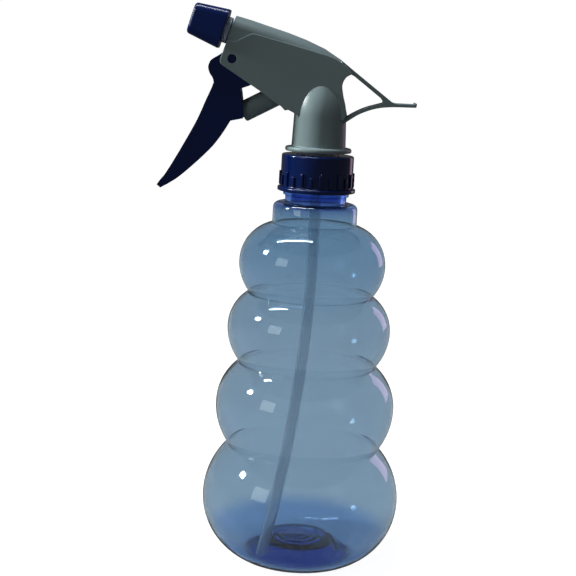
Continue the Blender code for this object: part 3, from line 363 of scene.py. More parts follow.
class Value:
    """A number from a shader socket; arithmetic on it adds the Math nodes."""

    def __init__(self, shader, socket):
        self.shader = shader
        self.socket = socket

    def math(self, operation, *values):
        return self.shader.node("ShaderNodeMath", {"operation": operation}, dict(enumerate(values)))

    def __add__(self, other):
        return self.math("ADD", self, other)

    def __radd__(self, other):
        return self.math("ADD", other, self)

    def __sub__(self, other):
        return self.math("SUBTRACT", self, other)

    def __rsub__(self, other):
        return self.math("SUBTRACT", other, self)

    def __mul__(self, other):
        return self.math("MULTIPLY", self, other)

    def __rmul__(self, other):
        return self.math("MULTIPLY", other, self)

    def __pow__(self, other):
        return self.math("POWER", self, other)

    def ramp(self, low, high):
        """0 below low, 1 above high, and a soft step between; low may be the higher one."""
        inputs = {"Value": self, "From Min": min(low, high), "From Max": max(low, high)}
        step = self.shader.node("ShaderNodeMapRange", {"interpolation_type": "SMOOTHSTEP"},
                                inputs, "Result")
        return 1 - step if low > high else step


class Shader:
    """A material's node tree, with its Principled shader."""

    def __init__(self, name):
        self.material = bpy.data.materials.new(name)
        self.material.use_nodes = True
        self.tree = self.material.node_tree
        self.principled = self.tree.nodes["Principled BSDF"]
        self.place = self.node("ShaderNodeTexCoord", output="Object")

    def feed(self, socket, value):
        if isinstance(value, Value):
            self.tree.links.new(value.socket, socket)
        elif hasattr(value, "__len__") and len(value) == 3 and socket.type == "RGBA":
            socket.default_value = (*value, 1.0)
        else:
            socket.default_value = value

    def node(self, kind, settings=None, inputs=None, output=0):
        made = self.tree.nodes.new(kind)
        for key, value in (settings or {}).items():
            setattr(made, key, value)
        for key, value in (inputs or {}).items():
            self.feed(made.inputs[key], value)
        return Value(self, made.outputs[output])

    def surface(self, **inputs):
        for key, value in inputs.items():
            self.feed(self.principled.inputs[key.replace("_", " ")], value)

    def noise(self, size, detail=3.0, rough=0.5, stretch=None):
        """Noise whose features are about size metres across."""
        place = self.place
        if stretch:
            place = self.node("ShaderNodeMapping", None, {"Vector": place, "Scale": stretch})
        inputs = {"Vector": place, "Scale": 1.0 / size, "Detail": detail, "Roughness": rough}
        return self.node("ShaderNodeTexNoise", None, inputs, "Fac")

    def mix(self, share, first, second):
        return self.node("ShaderNodeMix", {"data_type": "RGBA"}, {0: share, 6: first, 7: second}, 2)

    def drift(self, share, tint, low, high):
        """A tint that drifts between a darker and a lighter shade of itself."""
        return self.mix(share, shade(tint, low), shade(tint, high))

    def axes(self, centre):
        """Radius from an upright line through centre, and the height over it."""
        moved = self.node("ShaderNodeVectorMath", {"operation": "SUBTRACT"},
                          {0: self.place, 1: tuple(centre)})
        parts = self.node("ShaderNodeSeparateXYZ", None, {0: moved}).socket.node.outputs
        x, y, z = (Value(self, part) for part in parts)
        return (x * x + y * y) ** 0.5, z

    def relief(self, height, distance, strength=1.0):
        return self.node("ShaderNodeBump", None,
                         {"Height": height, "Distance": distance, "Strength": strength}, "Normal")


def shade(tint, factor):
    return tuple(min(1.0, channel * factor) for channel in tint)


# Millimetres at which a tint of the bottle sets in, and at which it is full.
BASE_HEIGHTS = (13, 9)
BASE_RADII = (27, 21)
HEEL_HEIGHTS = (16, 8)
UPPER_HEIGHTS = (95, 150)
NECK_HEIGHTS = (152.5, 163.0)


def between(value, limits):
    return value.ramp(limits[0] * MM, limits[1] * MM)


def blown_pet(shader, colours):
    """Clear tinted PET: pale in the thin bulges, navy where the neck and the base are thick."""
    radius, height = shader.axes(STAND)
    base = between(height, BASE_HEIGHTS) * between(radius, BASE_RADII)
    neck = between(height, NECK_HEIGHTS)
    flow = shader.noise(30 * MM, 2.0, stretch=(1.0, 1.0, 0.35))
    low = shader.drift(flow, colours.pet, 0.95, 1.05)
    high = shader.drift(flow, colours.pet_upper, 0.95, 1.05)
    bulges = shader.mix(between(height, UPPER_HEIGHTS), low, high)
    body = shader.mix(between(height, HEEL_HEIGHTS), bulges, tuple(colours.pet_heel))
    thick = shader.mix(neck, tuple(colours.pet_base), tuple(colours.pet_neck))
    both = base.math("MAXIMUM", base, neck)
    haze = shader.noise(6 * MM, 4.0)
    ripple = shader.noise(16 * MM, 1.0, stretch=(1.0, 1.0, 0.6))
    shader.surface(Base_Color=shader.mix(both, body, thick),
                   Roughness=haze * 0.03 + 0.015,
                   Normal=shader.relief(ripple, 0.25 * MM, 0.3),
                   IOR=1.5, Transmission_Weight=1.0)


def moulded_navy(shader, colours, gloss, coat):
    """Deep navy polypropylene with faint flow marks and handling scuffs."""
    flow = shader.noise(14 * MM, 3.0, stretch=(1.0, 1.0, 0.4))
    scuff = shader.noise(2.2 * MM, 6.0, 0.65).ramp(0.58, 0.78)
    grain = shader.noise(0.25 * MM, 2.0)
    tone = shader.drift(flow, colours.navy, 0.8, 1.25)
    shader.surface(Base_Color=shader.mix(scuff * 0.12, tone, (0.03, 0.045, 0.11)),
                   Roughness=flow * 0.05 + scuff * 0.08 + gloss,
                   Normal=shader.relief(grain, 0.02 * MM, 0.25),
                   IOR=1.49, Specular_IOR_Level=0.35, Coat_Weight=coat, Coat_Roughness=0.08)


def satin_grey(shader, colours):
    """Grey moulded polypropylene: fine grain, weak flow marks and a little grime."""
    flow = shader.noise(22 * MM, 3.0, stretch=(0.6, 1.0, 1.0))
    grime = shader.noise(5 * MM, 5.0, 0.6).ramp(0.55, 0.8)
    grain = shader.noise(0.3 * MM, 3.0)
    tone = shader.drift(flow, colours.grey, 0.93, 1.06)
    shader.surface(Base_Color=shader.mix(grime * 0.2, tone, shade(colours.grey, 0.8)),
                   Roughness=flow * 0.08 + grime * 0.06 + 0.34,
                   Normal=shader.relief(grain, 0.03 * MM, 0.3), IOR=1.49)


def milky_plastic(shader, colours, tint, transmission, gloss):
    """Uncoloured polyolefin that lets some light through."""
    cloud = shader.noise(9 * MM, 3.0, stretch=(1.0, 1.0, 0.5))
    grain = shader.noise(0.4 * MM, 2.0)
    shader.surface(Base_Color=shader.drift(cloud, getattr(colours, tint), 0.93, 1.06),
                   Roughness=cloud * 0.08 + gloss,
                   Normal=shader.relief(grain, 0.02 * MM, 0.06),
                   IOR=1.5, Transmission_Weight=transmission)


def soft_seal(shader, colours):
    speckle = shader.noise(0.8 * MM, 4.0)
    shader.surface(Base_Color=shader.drift(speckle, colours.rubber, 0.85, 1.1),
                   Roughness=speckle * 0.2 + 0.5,
                   Normal=shader.relief(speckle, 0.03 * MM, 0.4), IOR=1.5)


def drawn_steel(shader, colours):
    draw = shader.noise(0.5 * MM, 4.0, stretch=(1.0, 1.0, 0.1))
    shader.surface(Base_Color=shader.drift(draw, colours.steel, 0.85, 1.1),
                   Roughness=draw * 0.2 + 0.15, Metallic=1.0)


# Recipes: navy ones take gloss and coat, and milky ones take tint, clearness and gloss.
RECIPES = {
    "blown_pet": (blown_pet,),
    "glossy_navy": (moulded_navy, 0.14, 0.3),
    "satin_navy": (moulded_navy, 0.20, 0.1),
    "satin_grey": (satin_grey,),
    "natural_pp": (milky_plastic, "natural", 0.35, 0.24),
    "tube_pe": (milky_plastic, "tube", 0.88, 0.03),
    "soft_seal": (soft_seal,),
    "drawn_steel": (drawn_steel,),
}


def material(finish):
    """The named finish, made the first time that a piece asks for it."""
    found = bpy.data.materials.get(finish)
    if found:
        return found
    recipe, *amounts = RECIPES[finish]
    shader = Shader(finish)
    recipe(shader, bpy.context.scene.sprayer_finishes, *amounts)
    return shader.material


# ---- bottle

# Millimetres: each bulge's radius and rise, each waist's radius and rise, and then the rises above.
BULGES = ((43.45, 27.1), (39.3, 18.3), (35.65, 15.6), (31.8, 13.4))
WAISTS = ((33.1, 23.8), (29.7, 18.8), (26.95, 15.5))
DRUM_RISE = 17.3
DRUM_HEIGHT = 9.2
DRUM_CORNER = 2.6
NECK_HEIGHT = 3.2
BEAD_HEIGHT = 1.4
BEAD_DEPTH = 1.6
FINISH_HEIGHT = 10.2
DRUM_Z = sum(rise for _, rise in BULGES + WAISTS) + DRUM_RISE
BEAD_TOP_Z = DRUM_Z + DRUM_HEIGHT + NECK_HEIGHT + BEAD_HEIGHT
# Rings under the base: each one's radius in millimetres and its share of the push-up's height.
TERRACES = ((3.2, 1.0), (6.3, 0.98), (9.7, 0.95), (15.8, 0.90))
RING_STEP = 0.42
PUSH_UP_FOOT = (18.6, 0.28)
# The thread's start over the bead, and half its height at its root and at its crest.
THREAD_START = 2.7
THREAD_ROOT = 0.9
THREAD_CREST = 0.35
TUBE_BEND_Z = 140
TUBE_FOOT = (-15.6, -14.6, 4.6)


def bulge_side(equator, end, steps):
    """Arc from a bulge's equator, where it stands upright, to the waist or foot at its end."""
    fall = equator[0] - end[0]
    rise = abs(end[1] - equator[1])
    side = 1.0 if end[1] > equator[1] else -1.0
    radius = (fall * fall + rise * rise) / (2 * fall)
    sweep = math.atan2(rise, radius - fall)
    return [(equator[0] - radius * (1 - math.cos(a)), equator[1] + side * radius * math.sin(a))
            for a in (sweep * i / steps for i in range(steps + 1))]


def bottle_side(sizes, inset):
    """The bulged side from the foot to the drum; moved in by a wall, its waists are rounder."""
    waist_round = sizes.waist_round * (2.2 if inset else 1.0)
    ends = WAISTS + ((sizes.drum_r / MM, DRUM_RISE),)
    level = 0.0
    profile = [(sizes.foot_r - inset, inset)]
    for (bulge_r, bulge_rise), (waist_r, waist_rise) in zip(BULGES, ends):
        level += bulge_rise * MM
        equator = (bulge_r * MM - inset, level)
        lower = bulge_side(equator, profile[-1][:2], 12)
        level += waist_rise * MM
        upper = bulge_side(equator, (waist_r * MM - inset, level), 12)
        profile += lower[-2::-1] + upper[1:]
        profile[-1] = (*profile[-1], waist_round)
    profile[-1] = profile[-1][:2]
    return profile


class BuildBottle(Operator):
    """Spin the blown bottle with its ringed base, drum and neck, and give its neck a thread"""
    bl_idname = "sprayer.build_bottle"
    bl_label = "Bottle"

    def execute(self, context):
        sizes = context.scene.bottle_sizes
        wall = sizes.wall
        foot = sizes.foot_r - sizes.foot_width
        rise = sizes.push_up
        neck_z = (DRUM_Z + DRUM_HEIGHT) * MM
        bead_low = neck_z + NECK_HEIGHT * MM
        bead_top = BEAD_TOP_Z * MM
        mouth_z = bead_top + FINISH_HEIGHT * MM
        finish_r = sizes.finish_r
        neck_r = finish_r + 0.65 * MM
        bead_r = finish_r + BEAD_DEPTH * MM
        under = [(0.0, rise)]
        for edge, share in TERRACES:
            edge *= MM
            under += [(edge - 0.5 * MM, rise * share, 0.3 * MM),
                      (edge + 0.5 * MM, rise * share - RING_STEP * MM, 0.3 * MM)]
        under += [(PUSH_UP_FOOT[0] * MM, rise * PUSH_UP_FOOT[1], 1.0 * MM)]
        bend = (sizes.drum_r - DRUM_CORNER * MM, neck_z - DRUM_CORNER * MM)
        corner = arc(bend, DRUM_CORNER * MM, 0, 90, 8)
        outside = soften(
            under + [(foot, 0.0, 1.2 * MM), (sizes.foot_r, 0.0, 1.0 * MM)]
            + bottle_side(sizes, 0.0)[1:] + corner[1:] + [
                (neck_r, neck_z, 0.5 * MM), (neck_r, bead_low, 0.25 * MM),
                (bead_r, bead_low, 0.3 * MM), (bead_r, bead_top, 0.3 * MM),
                (finish_r, bead_top, 0.25 * MM), (finish_r, mouth_z, 0.4 * MM),
                (sizes.mouth_r, mouth_z, 0.4 * MM)])
        inner_corner = arc(bend, (DRUM_CORNER - 0.8) * MM, 0, 90, 8)
        floor = [(r, z + wall) for r, z, *_ in under]
        inside = soften(
            [(sizes.mouth_r, mouth_z), (sizes.mouth_r, neck_z - wall, 0.8 * MM)]
            + inner_corner[::-1][:-1] + bottle_side(sizes, wall)[::-1]
            + [(foot, wall, 1.0 * MM)] + floor[::-1])
        bottle = lathe("bottle_body", outside + inside[1:], sizes.steps)
        smooth(bottle, 40)
        finish_piece(bottle, "blown_pet", "bottle", "bottle", slot="pet")
        thread = cut_thread("neck_thread", finish_r - 0.2 * MM, finish_r + 1.0 * MM,
                            sizes.thread_pitch, 1.25, 0.18 * MM, 3)
        finish_piece(thread, "blown_pet", "bottle", slot="pet")
        return {"FINISHED"}


def cut_thread(name, root, crest, pitch, turns, corner, segments):
    """A wedge of thread screwed up round the neck; negative radii start it at the far side."""
    wedge = ((root, -THREAD_ROOT), (crest, -THREAD_CREST),
             (crest, THREAD_CREST), (root, THREAD_ROOT))
    start = (BEAD_TOP_Z + THREAD_START) * MM
    thread = flat_face(name, [STAND + Vector((r, 0, start + z * MM)) for r, z in wedge])
    bpy.ops.mesh.bevel(offset=corner, segments=segments, affect="VERTICES")
    bpy.ops.object.mode_set(mode="OBJECT")
    screw_up(thread, STAND, pitch, turns, 60)
    return smooth(thread)


class BuildDipTube(Operator):
    """Sweep the dip tube down the bottle and round its bend, and cut its foot on a slant"""
    bl_idname = "sprayer.build_dip_tube"
    bl_label = "Dip tube"

    def execute(self, context):
        sizes = context.scene.bottle_sizes
        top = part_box("dip_tube")[1].z
        bend = STAND.z + TUBE_BEND_Z * MM
        foot = Vector([value * MM for value in TUBE_FOOT])
        reach = foot.xy.length

        def centre(z):
            share = max(0.0, (bend - z) / (bend - foot.z))
            return STAND + Vector((reach * share ** 2, 0, z - STAND.z))

        stops = 30
        end_z = foot.z - 1.6 * MM
        levels = [top] + [bend + (end_z - bend) * i / stops for i in range(stops + 1)]
        bpy.ops.mesh.primitive_circle_add(vertices=40, radius=sizes.tube_r, location=centre(top))
        tube = start_piece("dip_tube_swept")
        bpy.ops.mesh.select_all(action="SELECT")
        lean = 0.0
        for above, below in zip(levels, levels[1:]):
            start, end = centre(above), centre(below)
            extrude(end - start)
            along = centre(below - MM) - end
            slope = math.atan2(along.x, -along.z)
            turn_selected(lean - slope, end, "Y")
            lean = slope
        bpy.ops.mesh.select_all(action="SELECT")
        bpy.ops.mesh.bisect(plane_co=centre(foot.z), plane_no=(-0.45, 0, -0.9), clear_outer=True)
        bpy.ops.mesh.select_all(action="SELECT")
        turn_selected(math.atan2(foot.y, foot.x), STAND)
        clean(tube)
        apply_modifier(tube, "SOLIDIFY", thickness=sizes.tube_wall, offset=-1.0)
        smooth(tube)
        finish_piece(tube, "tube_pe", "head", "dip_tube", slot="tube")
        return {"FINISHED"}


# ---- collar

class BuildCollar(Operator):
    """Spin the screw collar and raise its long and short grip ribs out of its wall"""
    bl_idname = "sprayer.build_collar"
    bl_label = "Collar"

    def execute(self, context):
        sizes = context.scene.sprayer_sizes
        foot = COLLAR_LOW.z - HEAD.z
        r, bore = sizes.collar_r, sizes.collar_bore
        skirt = r + 1.25 * MM
        skirt_top = foot + 1.6 * MM
        low = skirt_top + 0.45 * MM
        short, tall = skirt_top + 5.2 * MM, skirt_top + 6.9 * MM
        top = 0.9 * MM
        lip, lip_low = 8.8 * MM, -1.4 * MM
        profile = soften([
            (bore, foot, 0.3 * MM), (skirt, foot, 0.4 * MM), (skirt, skirt_top, 0.5 * MM),
            (r, low, 0.3 * MM), (r, short), (r, tall), (r, top, 0.9 * MM),
            (lip, top, 0.3 * MM), (lip, lip_low), (bore, lip_low, 0.4 * MM)])
        steps = sizes.ribs * 5
        collar = lathe("collar_shell", profile, steps, base=HEAD)
        edit(collar)
        pitch = math.tau / steps

        def rib_wall(mid, normal):
            away = mid - HEAD
            column = math.floor((math.atan2(away.y, away.x) % math.tau) / pitch)
            top = tall if (column // 5) % 2 == 0 else short
            flat = math.hypot(away.x, away.y) > r - 0.15 * MM and abs(normal.z) < 0.1
            outward = normal.x * away.x + normal.y * away.y > 0
            return flat and outward and column % 5 in (1, 2) and low < away.z < top

        pick(collar, "FACE", rib_wall)
        bpy.ops.mesh.inset(thickness=0.12 * MM, use_boundary=True, use_even_offset=True)
        rise = {"value": sizes.rib_depth}
        bpy.ops.mesh.extrude_region_shrink_fatten(TRANSFORM_OT_shrink_fatten=rise)
        bpy.ops.mesh.bevel(offset=0.28 * MM, segments=3, affect="EDGES", clamp_overlap=True)
        clean(collar)
        smooth(collar, 40, flats=True)
        finish_piece(collar, "glossy_navy", "collar", "closure_collar", slot="navy")
        bottle = context.scene.bottle_sizes
        thread = cut_thread("collar_thread", -14.2 * MM, -bottle.finish_r - 0.4 * MM,
                            bottle.thread_pitch, 1.0, 0.15 * MM, 2)
        finish_piece(thread, "glossy_navy", "collar", slot="navy")
        return {"FINISHED"}


# ---- shroud

# Side outlines in millimetres from the middle of the collar's top; a third number rounds a corner.
PANEL_OUTLINE = (
    (-40.5, 47.6, 0.8), (-43.4, 38.8, 0.8), (-43.0, 37.2, 1.2), (-26.0, 26.8), (-16.7, 20.8),
    (-15.0, 19.1, 0.5), (-13.8, 19.6, 0.3), (-9.6, 17.6), (9.8, 16.1), (11.3, 18.6),
    (9.2, 26.8, 3.0), (8.4, 31.2, 3.0), (9.9, 34.4, 2.0), (12.6, 35.8), (9.6, 39.2),
    (4.3, 42.4, 3.0), (-11.2, 46.2, 5.0), (-30.1, 50.6, 1.2), (-37.5, 46.7, 1.2),
)
PANEL_HOLLOW = (
    (-50.0, 45.6), (-50.0, 33.0), (-30.0, 18.0), (-17.0, 15.0), (-14.2, 17.6), (-14.2, 20.7),
    (-9.2, 18.8), (7.4, 18.8), (7.4, 31.4), (8.6, 35.2), (3.9, 41.3), (-11.4, 45.1), (-30.1, 49.5),
    (-37.4, 45.6),
)
RIDGE = ((-37.4, 57.5), (-30.4, 55.8), (-23.4, 53.8), (-15.4, 51.6), (-7.5, 49.0), (0.5, 45.7),
         (8.0, 41.2))
RIDGE_SLOPE = 0.243
FRONT_LEAN = math.atan2(6.1, 18.9)
SPINE_DEPTH = 13.0
BELL_FOOT, BELL_BROW, BELL_SHOULDER, BELL_DOME = 2.2 * MM, 4.1 * MM, 16.4 * MM, 17.9 * MM
TAIL_OUTLINE = (
    (8.0, 41.1), (12.8, 37.5, 3.0), (30.9, 24.3, 1.5), (39.6, 24.3, 0.3), (40.0, 25.0, 0.2),
    (40.6, 24.8, 0.3), (40.4, 23.1, 0.5), (30.0, 22.9, 3.0), (24.4, 22.2, 3.0),
    (20.0, 20.8, 3.0), (16.0, 19.0, 3.0), (12.3, 16.4, 1.0), (8.6, 13.7), (8.6, 16.0),
    (14.9, 20.0, 3.0), (19.2, 22.1, 3.0), (23.4, 23.4, 2.0), (26.7, 24.4, 0.8),
    (25.8, 25.9, 0.8), (12.9, 35.4, 2.0), (8.0, 36.6),
)


class BuildShroud(Operator):
    """Join the bell, side panels, spine and tail of the shroud, and hollow it for the pump"""
    bl_idname = "sprayer.build_shroud"
    bl_label = "Shroud"

    def execute(self, context):
        sizes = context.scene.sprayer_sizes
        edge = sizes.moulded_edge
        wall = sizes.spine_wall
        shroud = self.bell(sizes, 0.0, "shroud_shell")
        panel = soften(PANEL_OUTLINE, closed=True)
        combine(shroud, plate("panel", panel, sizes.panel_half, edge), "UNION")
        combine(shroud, self.spine(sizes.spine_half, 0.0, 0.0, "spine"), "UNION")
        tail = soften(TAIL_OUTLINE, closed=True)
        combine(shroud, plate("tail", tail, sizes.tail_half, edge), "UNION")
        for room in (self.bell(sizes, 1.1 * MM, "bell_room"),
                     plate("panel_room", PANEL_HOLLOW, sizes.panel_half - sizes.panel_wall),
                     self.spine(sizes.spine_half - wall, wall / MM, 6.0, "spine_room"),
                     clean(cross_pin("pivot_hole", PIVOT, sizes.trunnion_r + 0.3 * MM, 9 * MM, 32)),
                     self.barrel_room()):
            combine(shroud, room, "DIFFERENCE")
        edit(shroud)
        clean(shroud, 2e-6)
        smooth(shroud, 28, flats=True)
        finish_piece(shroud, "satin_grey", "head", "shroud", slot="grey")
        return {"FINISHED"}

    def bell(self, sizes, inset, name):
        """The bell as a solid; moved in by a wall, it is the room inside."""
        shoulder = sizes.bell_r - inset
        foot_r = sizes.bell_foot_r - inset
        rise = BELL_DOME - inset
        dome = [(shoulder * math.cos(a), BELL_SHOULDER + rise * math.sin(a))
                for a in [math.pi / 2 * i / 20 for i in range(20)]]
        if inset:
            start = [(0.0, 0.3 * MM), (foot_r, 0.3 * MM)]
        else:
            flange = sizes.bell_flange_r
            start = soften([
                (0.0, BELL_FOOT), (flange, BELL_FOOT, 0.7 * MM), (flange, BELL_BROW, 0.9 * MM),
                (foot_r, BELL_BROW, 0.5 * MM), (shoulder, BELL_SHOULDER)])[:-1]
        return lathe(name, start + dome + [(0.0, BELL_SHOULDER + rise)], 88, base=HEAD)

    def spine(self, half, drop, extend, name):
        """Sweep a round-topped section along the ridge, leaning forward at its front end."""
        corner = half * 0.85
        depth = (SPINE_DEPTH - 2 * drop) * MM
        x, top = RIDGE[0][0] - extend, RIDGE[0][1] - drop + extend * RIDGE_SLOPE
        section = [(-half, -depth), (-half, -corner)]
        section += [(-half * math.cos(a), -corner + corner * math.sin(a))
                    for a in [math.pi * i / 16 for i in range(1, 16)]]
        section += [(half, -corner), (half, -depth)]
        aside, ahead = math.cos(FRONT_LEAN), math.sin(FRONT_LEAN)
        start = head_point(x, top)
        spine = flat_face(name, [start + Vector((z * ahead, y, z * aside)) for y, z in section])
        bpy.ops.mesh.select_mode(type="FACE")
        here = Vector((x, 0, top))
        for ridge_x, ridge_z in RIDGE[1:]:
            there = Vector((ridge_x, 0, ridge_z - drop))
            extrude((there - here) * MM)
            turn_selected(FRONT_LEAN / (len(RIDGE) - 1), head_point(there.x, there.z), "Y")
            here = there
        return clean(spine)

    def barrel_room(self):
        """Clearance for the pump's barrel, from inside the front of the panels to the bell."""
        radius, low, high = 6.4 * MM, 17.5 * MM, 39.3 * MM
        profile = [(0.0, low), (radius, low), (radius, high), (0.0, high)]
        return lathe("barrel_room", profile, 40, base=PUMP_NOSE, axis=PUMP_AXIS)


# ---- trigger and piston

TRIGGER_FRONT = ((-68.2, -14.9), (-66.8, -12.8), (-64.3, -9.4), (-59.4, -0.8), (-54.2, 9.0),
                 (-51.9, 13.7), (-50.1, 18.0), (-48.3, 22.6), (-46.5, 26.8), (-45.8, 29.0))
TRIGGER_LUG = ((-45.9, 30.9, 1.0), (-47.6, 33.3, 1.0), (-48.4, 35.8, 1.4), (-47.4, 38.6, 1.2),
               (-42.9, 41.5, 1.0), (-41.2, 43.3, 1.0), (-38.3, 44.2, 1.5), (-35.3, 43.1, 1.2),
               (-33.4, 40.5, 1.0), (-31.0, 33.0, 1.0), (-30.3, 28.8, 0.4), (-34.0, 27.4, 0.5),
               (-35.5, 22.5, 0.5), (-45.0, 25.5, 0.5))
TRIGGER_REAR = ((-34.0, 27.0), (-33.3, 22.3), (-32.4, 16.6), (-32.7, 14.9), (-38.2, 13.6),
                (-41.6, 7.7), (-45.9, 1.6), (-52.2, -5.0), (-58.6, -10.9), (-62.6, -13.8),
                (-66.6, -16.2))
FRONT_ROUND = 1.8 * MM
RIM_ROUND = 0.25 * MM


def curve_through(path, steps):
    """A smooth line through every point of a path."""
    points = [Vector(p[:2]) for p in path]
    ends = [2 * points[0] - points[1]] + points + [2 * points[-1] - points[-2]]
    line = []
    for a, b, c, d in zip(ends, ends[1:], ends[2:], ends[3:]):
        for i in range(steps):
            t = i / steps
            line.append(0.5 * (2 * b + (c - a) * t + (2 * a - 5 * b + 4 * c - d) * t * t
                               + (3 * b - a - 3 * c + d) * t ** 3))
    return [tuple(p) for p in line] + [tuple(points[-1])]


class BuildTrigger(Operator):
    """Cut the trigger's curved finger from a plate, round its front and open its rear channel"""
    bl_idname = "sprayer.build_trigger"
    bl_label = "Trigger"

    def execute(self, context):
        sizes = context.scene.sprayer_sizes
        half = sizes.trigger_half
        front = curve_through(TRIGGER_FRONT, 4)
        lug = soften(TRIGGER_LUG, closed=True)
        heel = curve_through(TRIGGER_REAR[4:], 4)
        rear = list(TRIGGER_REAR[:4]) + heel
        trigger = plate("trigger_finger", front + rear, half)
        self.round_front(trigger, half, front)
        combine(trigger, plate("lug", lug, half, 0.4 * MM), "UNION")
        self.open_channel(trigger, half - sizes.cheek, front, heel)
        for name, centre, radius, reach in (
                ("trunnions", PIVOT, sizes.trunnion_r, sizes.panel_half - 0.15 * MM),
                ("cam", self.cam_centre(), 1.2 * MM, half - sizes.cheek / 2)):
            pin = cross_pin(name, centre, radius, reach, 28)
            round_edges(pin, RIM_ROUND, 2, at_side(reach))
            combine(trigger, clean(pin), "UNION")
        smooth(trigger, 32, flats=True)
        finish_piece(trigger, "satin_navy", "trigger", "trigger", slot="navy")
        return {"FINISHED"}

    def cam_centre(self):
        below = Vector((PUMP_AXIS.z, 0, -PUMP_AXIS.x))
        return PUMP_NOSE - PUMP_AXIS * 1.5 * MM + below * 0.8 * MM

    def round_front(self, trigger, half, front):
        """Bevel the two front rims widely, and the other rims a little."""
        line = [head_point(x, z) for x, z in front]

        def near_front(mid):
            flat = Vector((mid.x, 0, mid.z))
            return min((flat - point).length for point in line) < 1.2 * MM

        rim = at_side(half)
        edit(trigger)
        round_edges(trigger, FRONT_ROUND, 6, lambda mid, e: rim(mid, e) and near_front(mid),
                    clamp=True)
        round_edges(trigger, RIM_ROUND, 2, lambda mid, e: rim(mid, e) and not near_front(mid)
                    and e.calc_face_angle(0.0) > 1.0, clamp=True)
        clean(trigger)

    def open_channel(self, trigger, half, front, heel):
        """Cut the channel behind the skin, from the pad's face down to near the tip."""
        skin = 1.8
        inner = []
        for (x, z), before, after in zip(front[4:-3], front[3:], front[5:]):
            along = (Vector(after) - Vector(before)).normalized()
            inner.append((x + along.y * skin, z - along.x * skin))
        pad = [(-40.9, 29.0), (-29.0, 24.0), (-29.0, 12.0)]
        below = [(x + 1.5, z - 2.2) for x, z in heel[2:-6]]
        combine(trigger, plate("channel", inner + pad + below, half), "DIFFERENCE")


class BuildPiston(Operator):
    """Turn the piston with its rounded nose and seal lands, and wind the pump's return spring"""
    bl_idname = "sprayer.build_piston"
    bl_label = "Piston and spring"

    def execute(self, context):
        r = context.scene.sprayer_sizes.piston_r
        land, land_low = 25.2 * MM, 27.2 * MM
        neck, seat, bore, end = 3.6 * MM, 4.2 * MM, 2.9 * MM, 27.8 * MM
        profile = soften([
            (0.0, 0.0), (r, 0.0, 1.1 * MM), (r, land, 0.2 * MM), (neck, land), (neck, land_low),
            (seat, land_low, 0.2 * MM), (seat, end, 0.2 * MM), (bore, end),
            (bore, 12.0 * MM, 0.3 * MM), (0.0, 12.0 * MM)])
        piston = lathe("piston_rod", profile, 56, base=PUMP_NOSE, axis=PUMP_AXIS)
        smooth(piston)
        finish_piece(piston, "satin_grey", "piston", "piston", slot="grey")
        fit_spring("return_coil", "return_spring", PUMP_NOSE, PUMP_AXIS,
                   (12.3, 37.2), 2.3 * MM, 0.3 * MM, 8)
        return {"FINISHED"}


def fit_spring(name, node, base, axis, ends, radius, wire, turns):
    """Fit a coil between two distances along an axis."""
    low, high = (base + axis * end * MM for end in ends)
    spring = wind_spring(name, low, high, radius, wire, turns)
    finish_piece(spring, "drawn_steel", "head", node, slot="steel")
    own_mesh(spring)


def wind_spring(name, low, high, radius, wire, turns):
    """A closed coil of round wire between two points, with 28 steps in a turn."""
    span = (high - low).length - 2 * wire
    bpy.ops.mesh.primitive_circle_add(vertices=10, radius=wire, fill_type="NGON",
                                      location=(radius, 0, wire), rotation=(math.pi / 2, 0, 0))
    spring = start_piece(name)
    bpy.ops.object.mode_set(mode="OBJECT")
    screw_up(spring, Vector((0, 0, 0)), span / turns, turns, 28)
    lay_on(spring, low, high - low)
    return smooth(spring)


# ---- nozzle

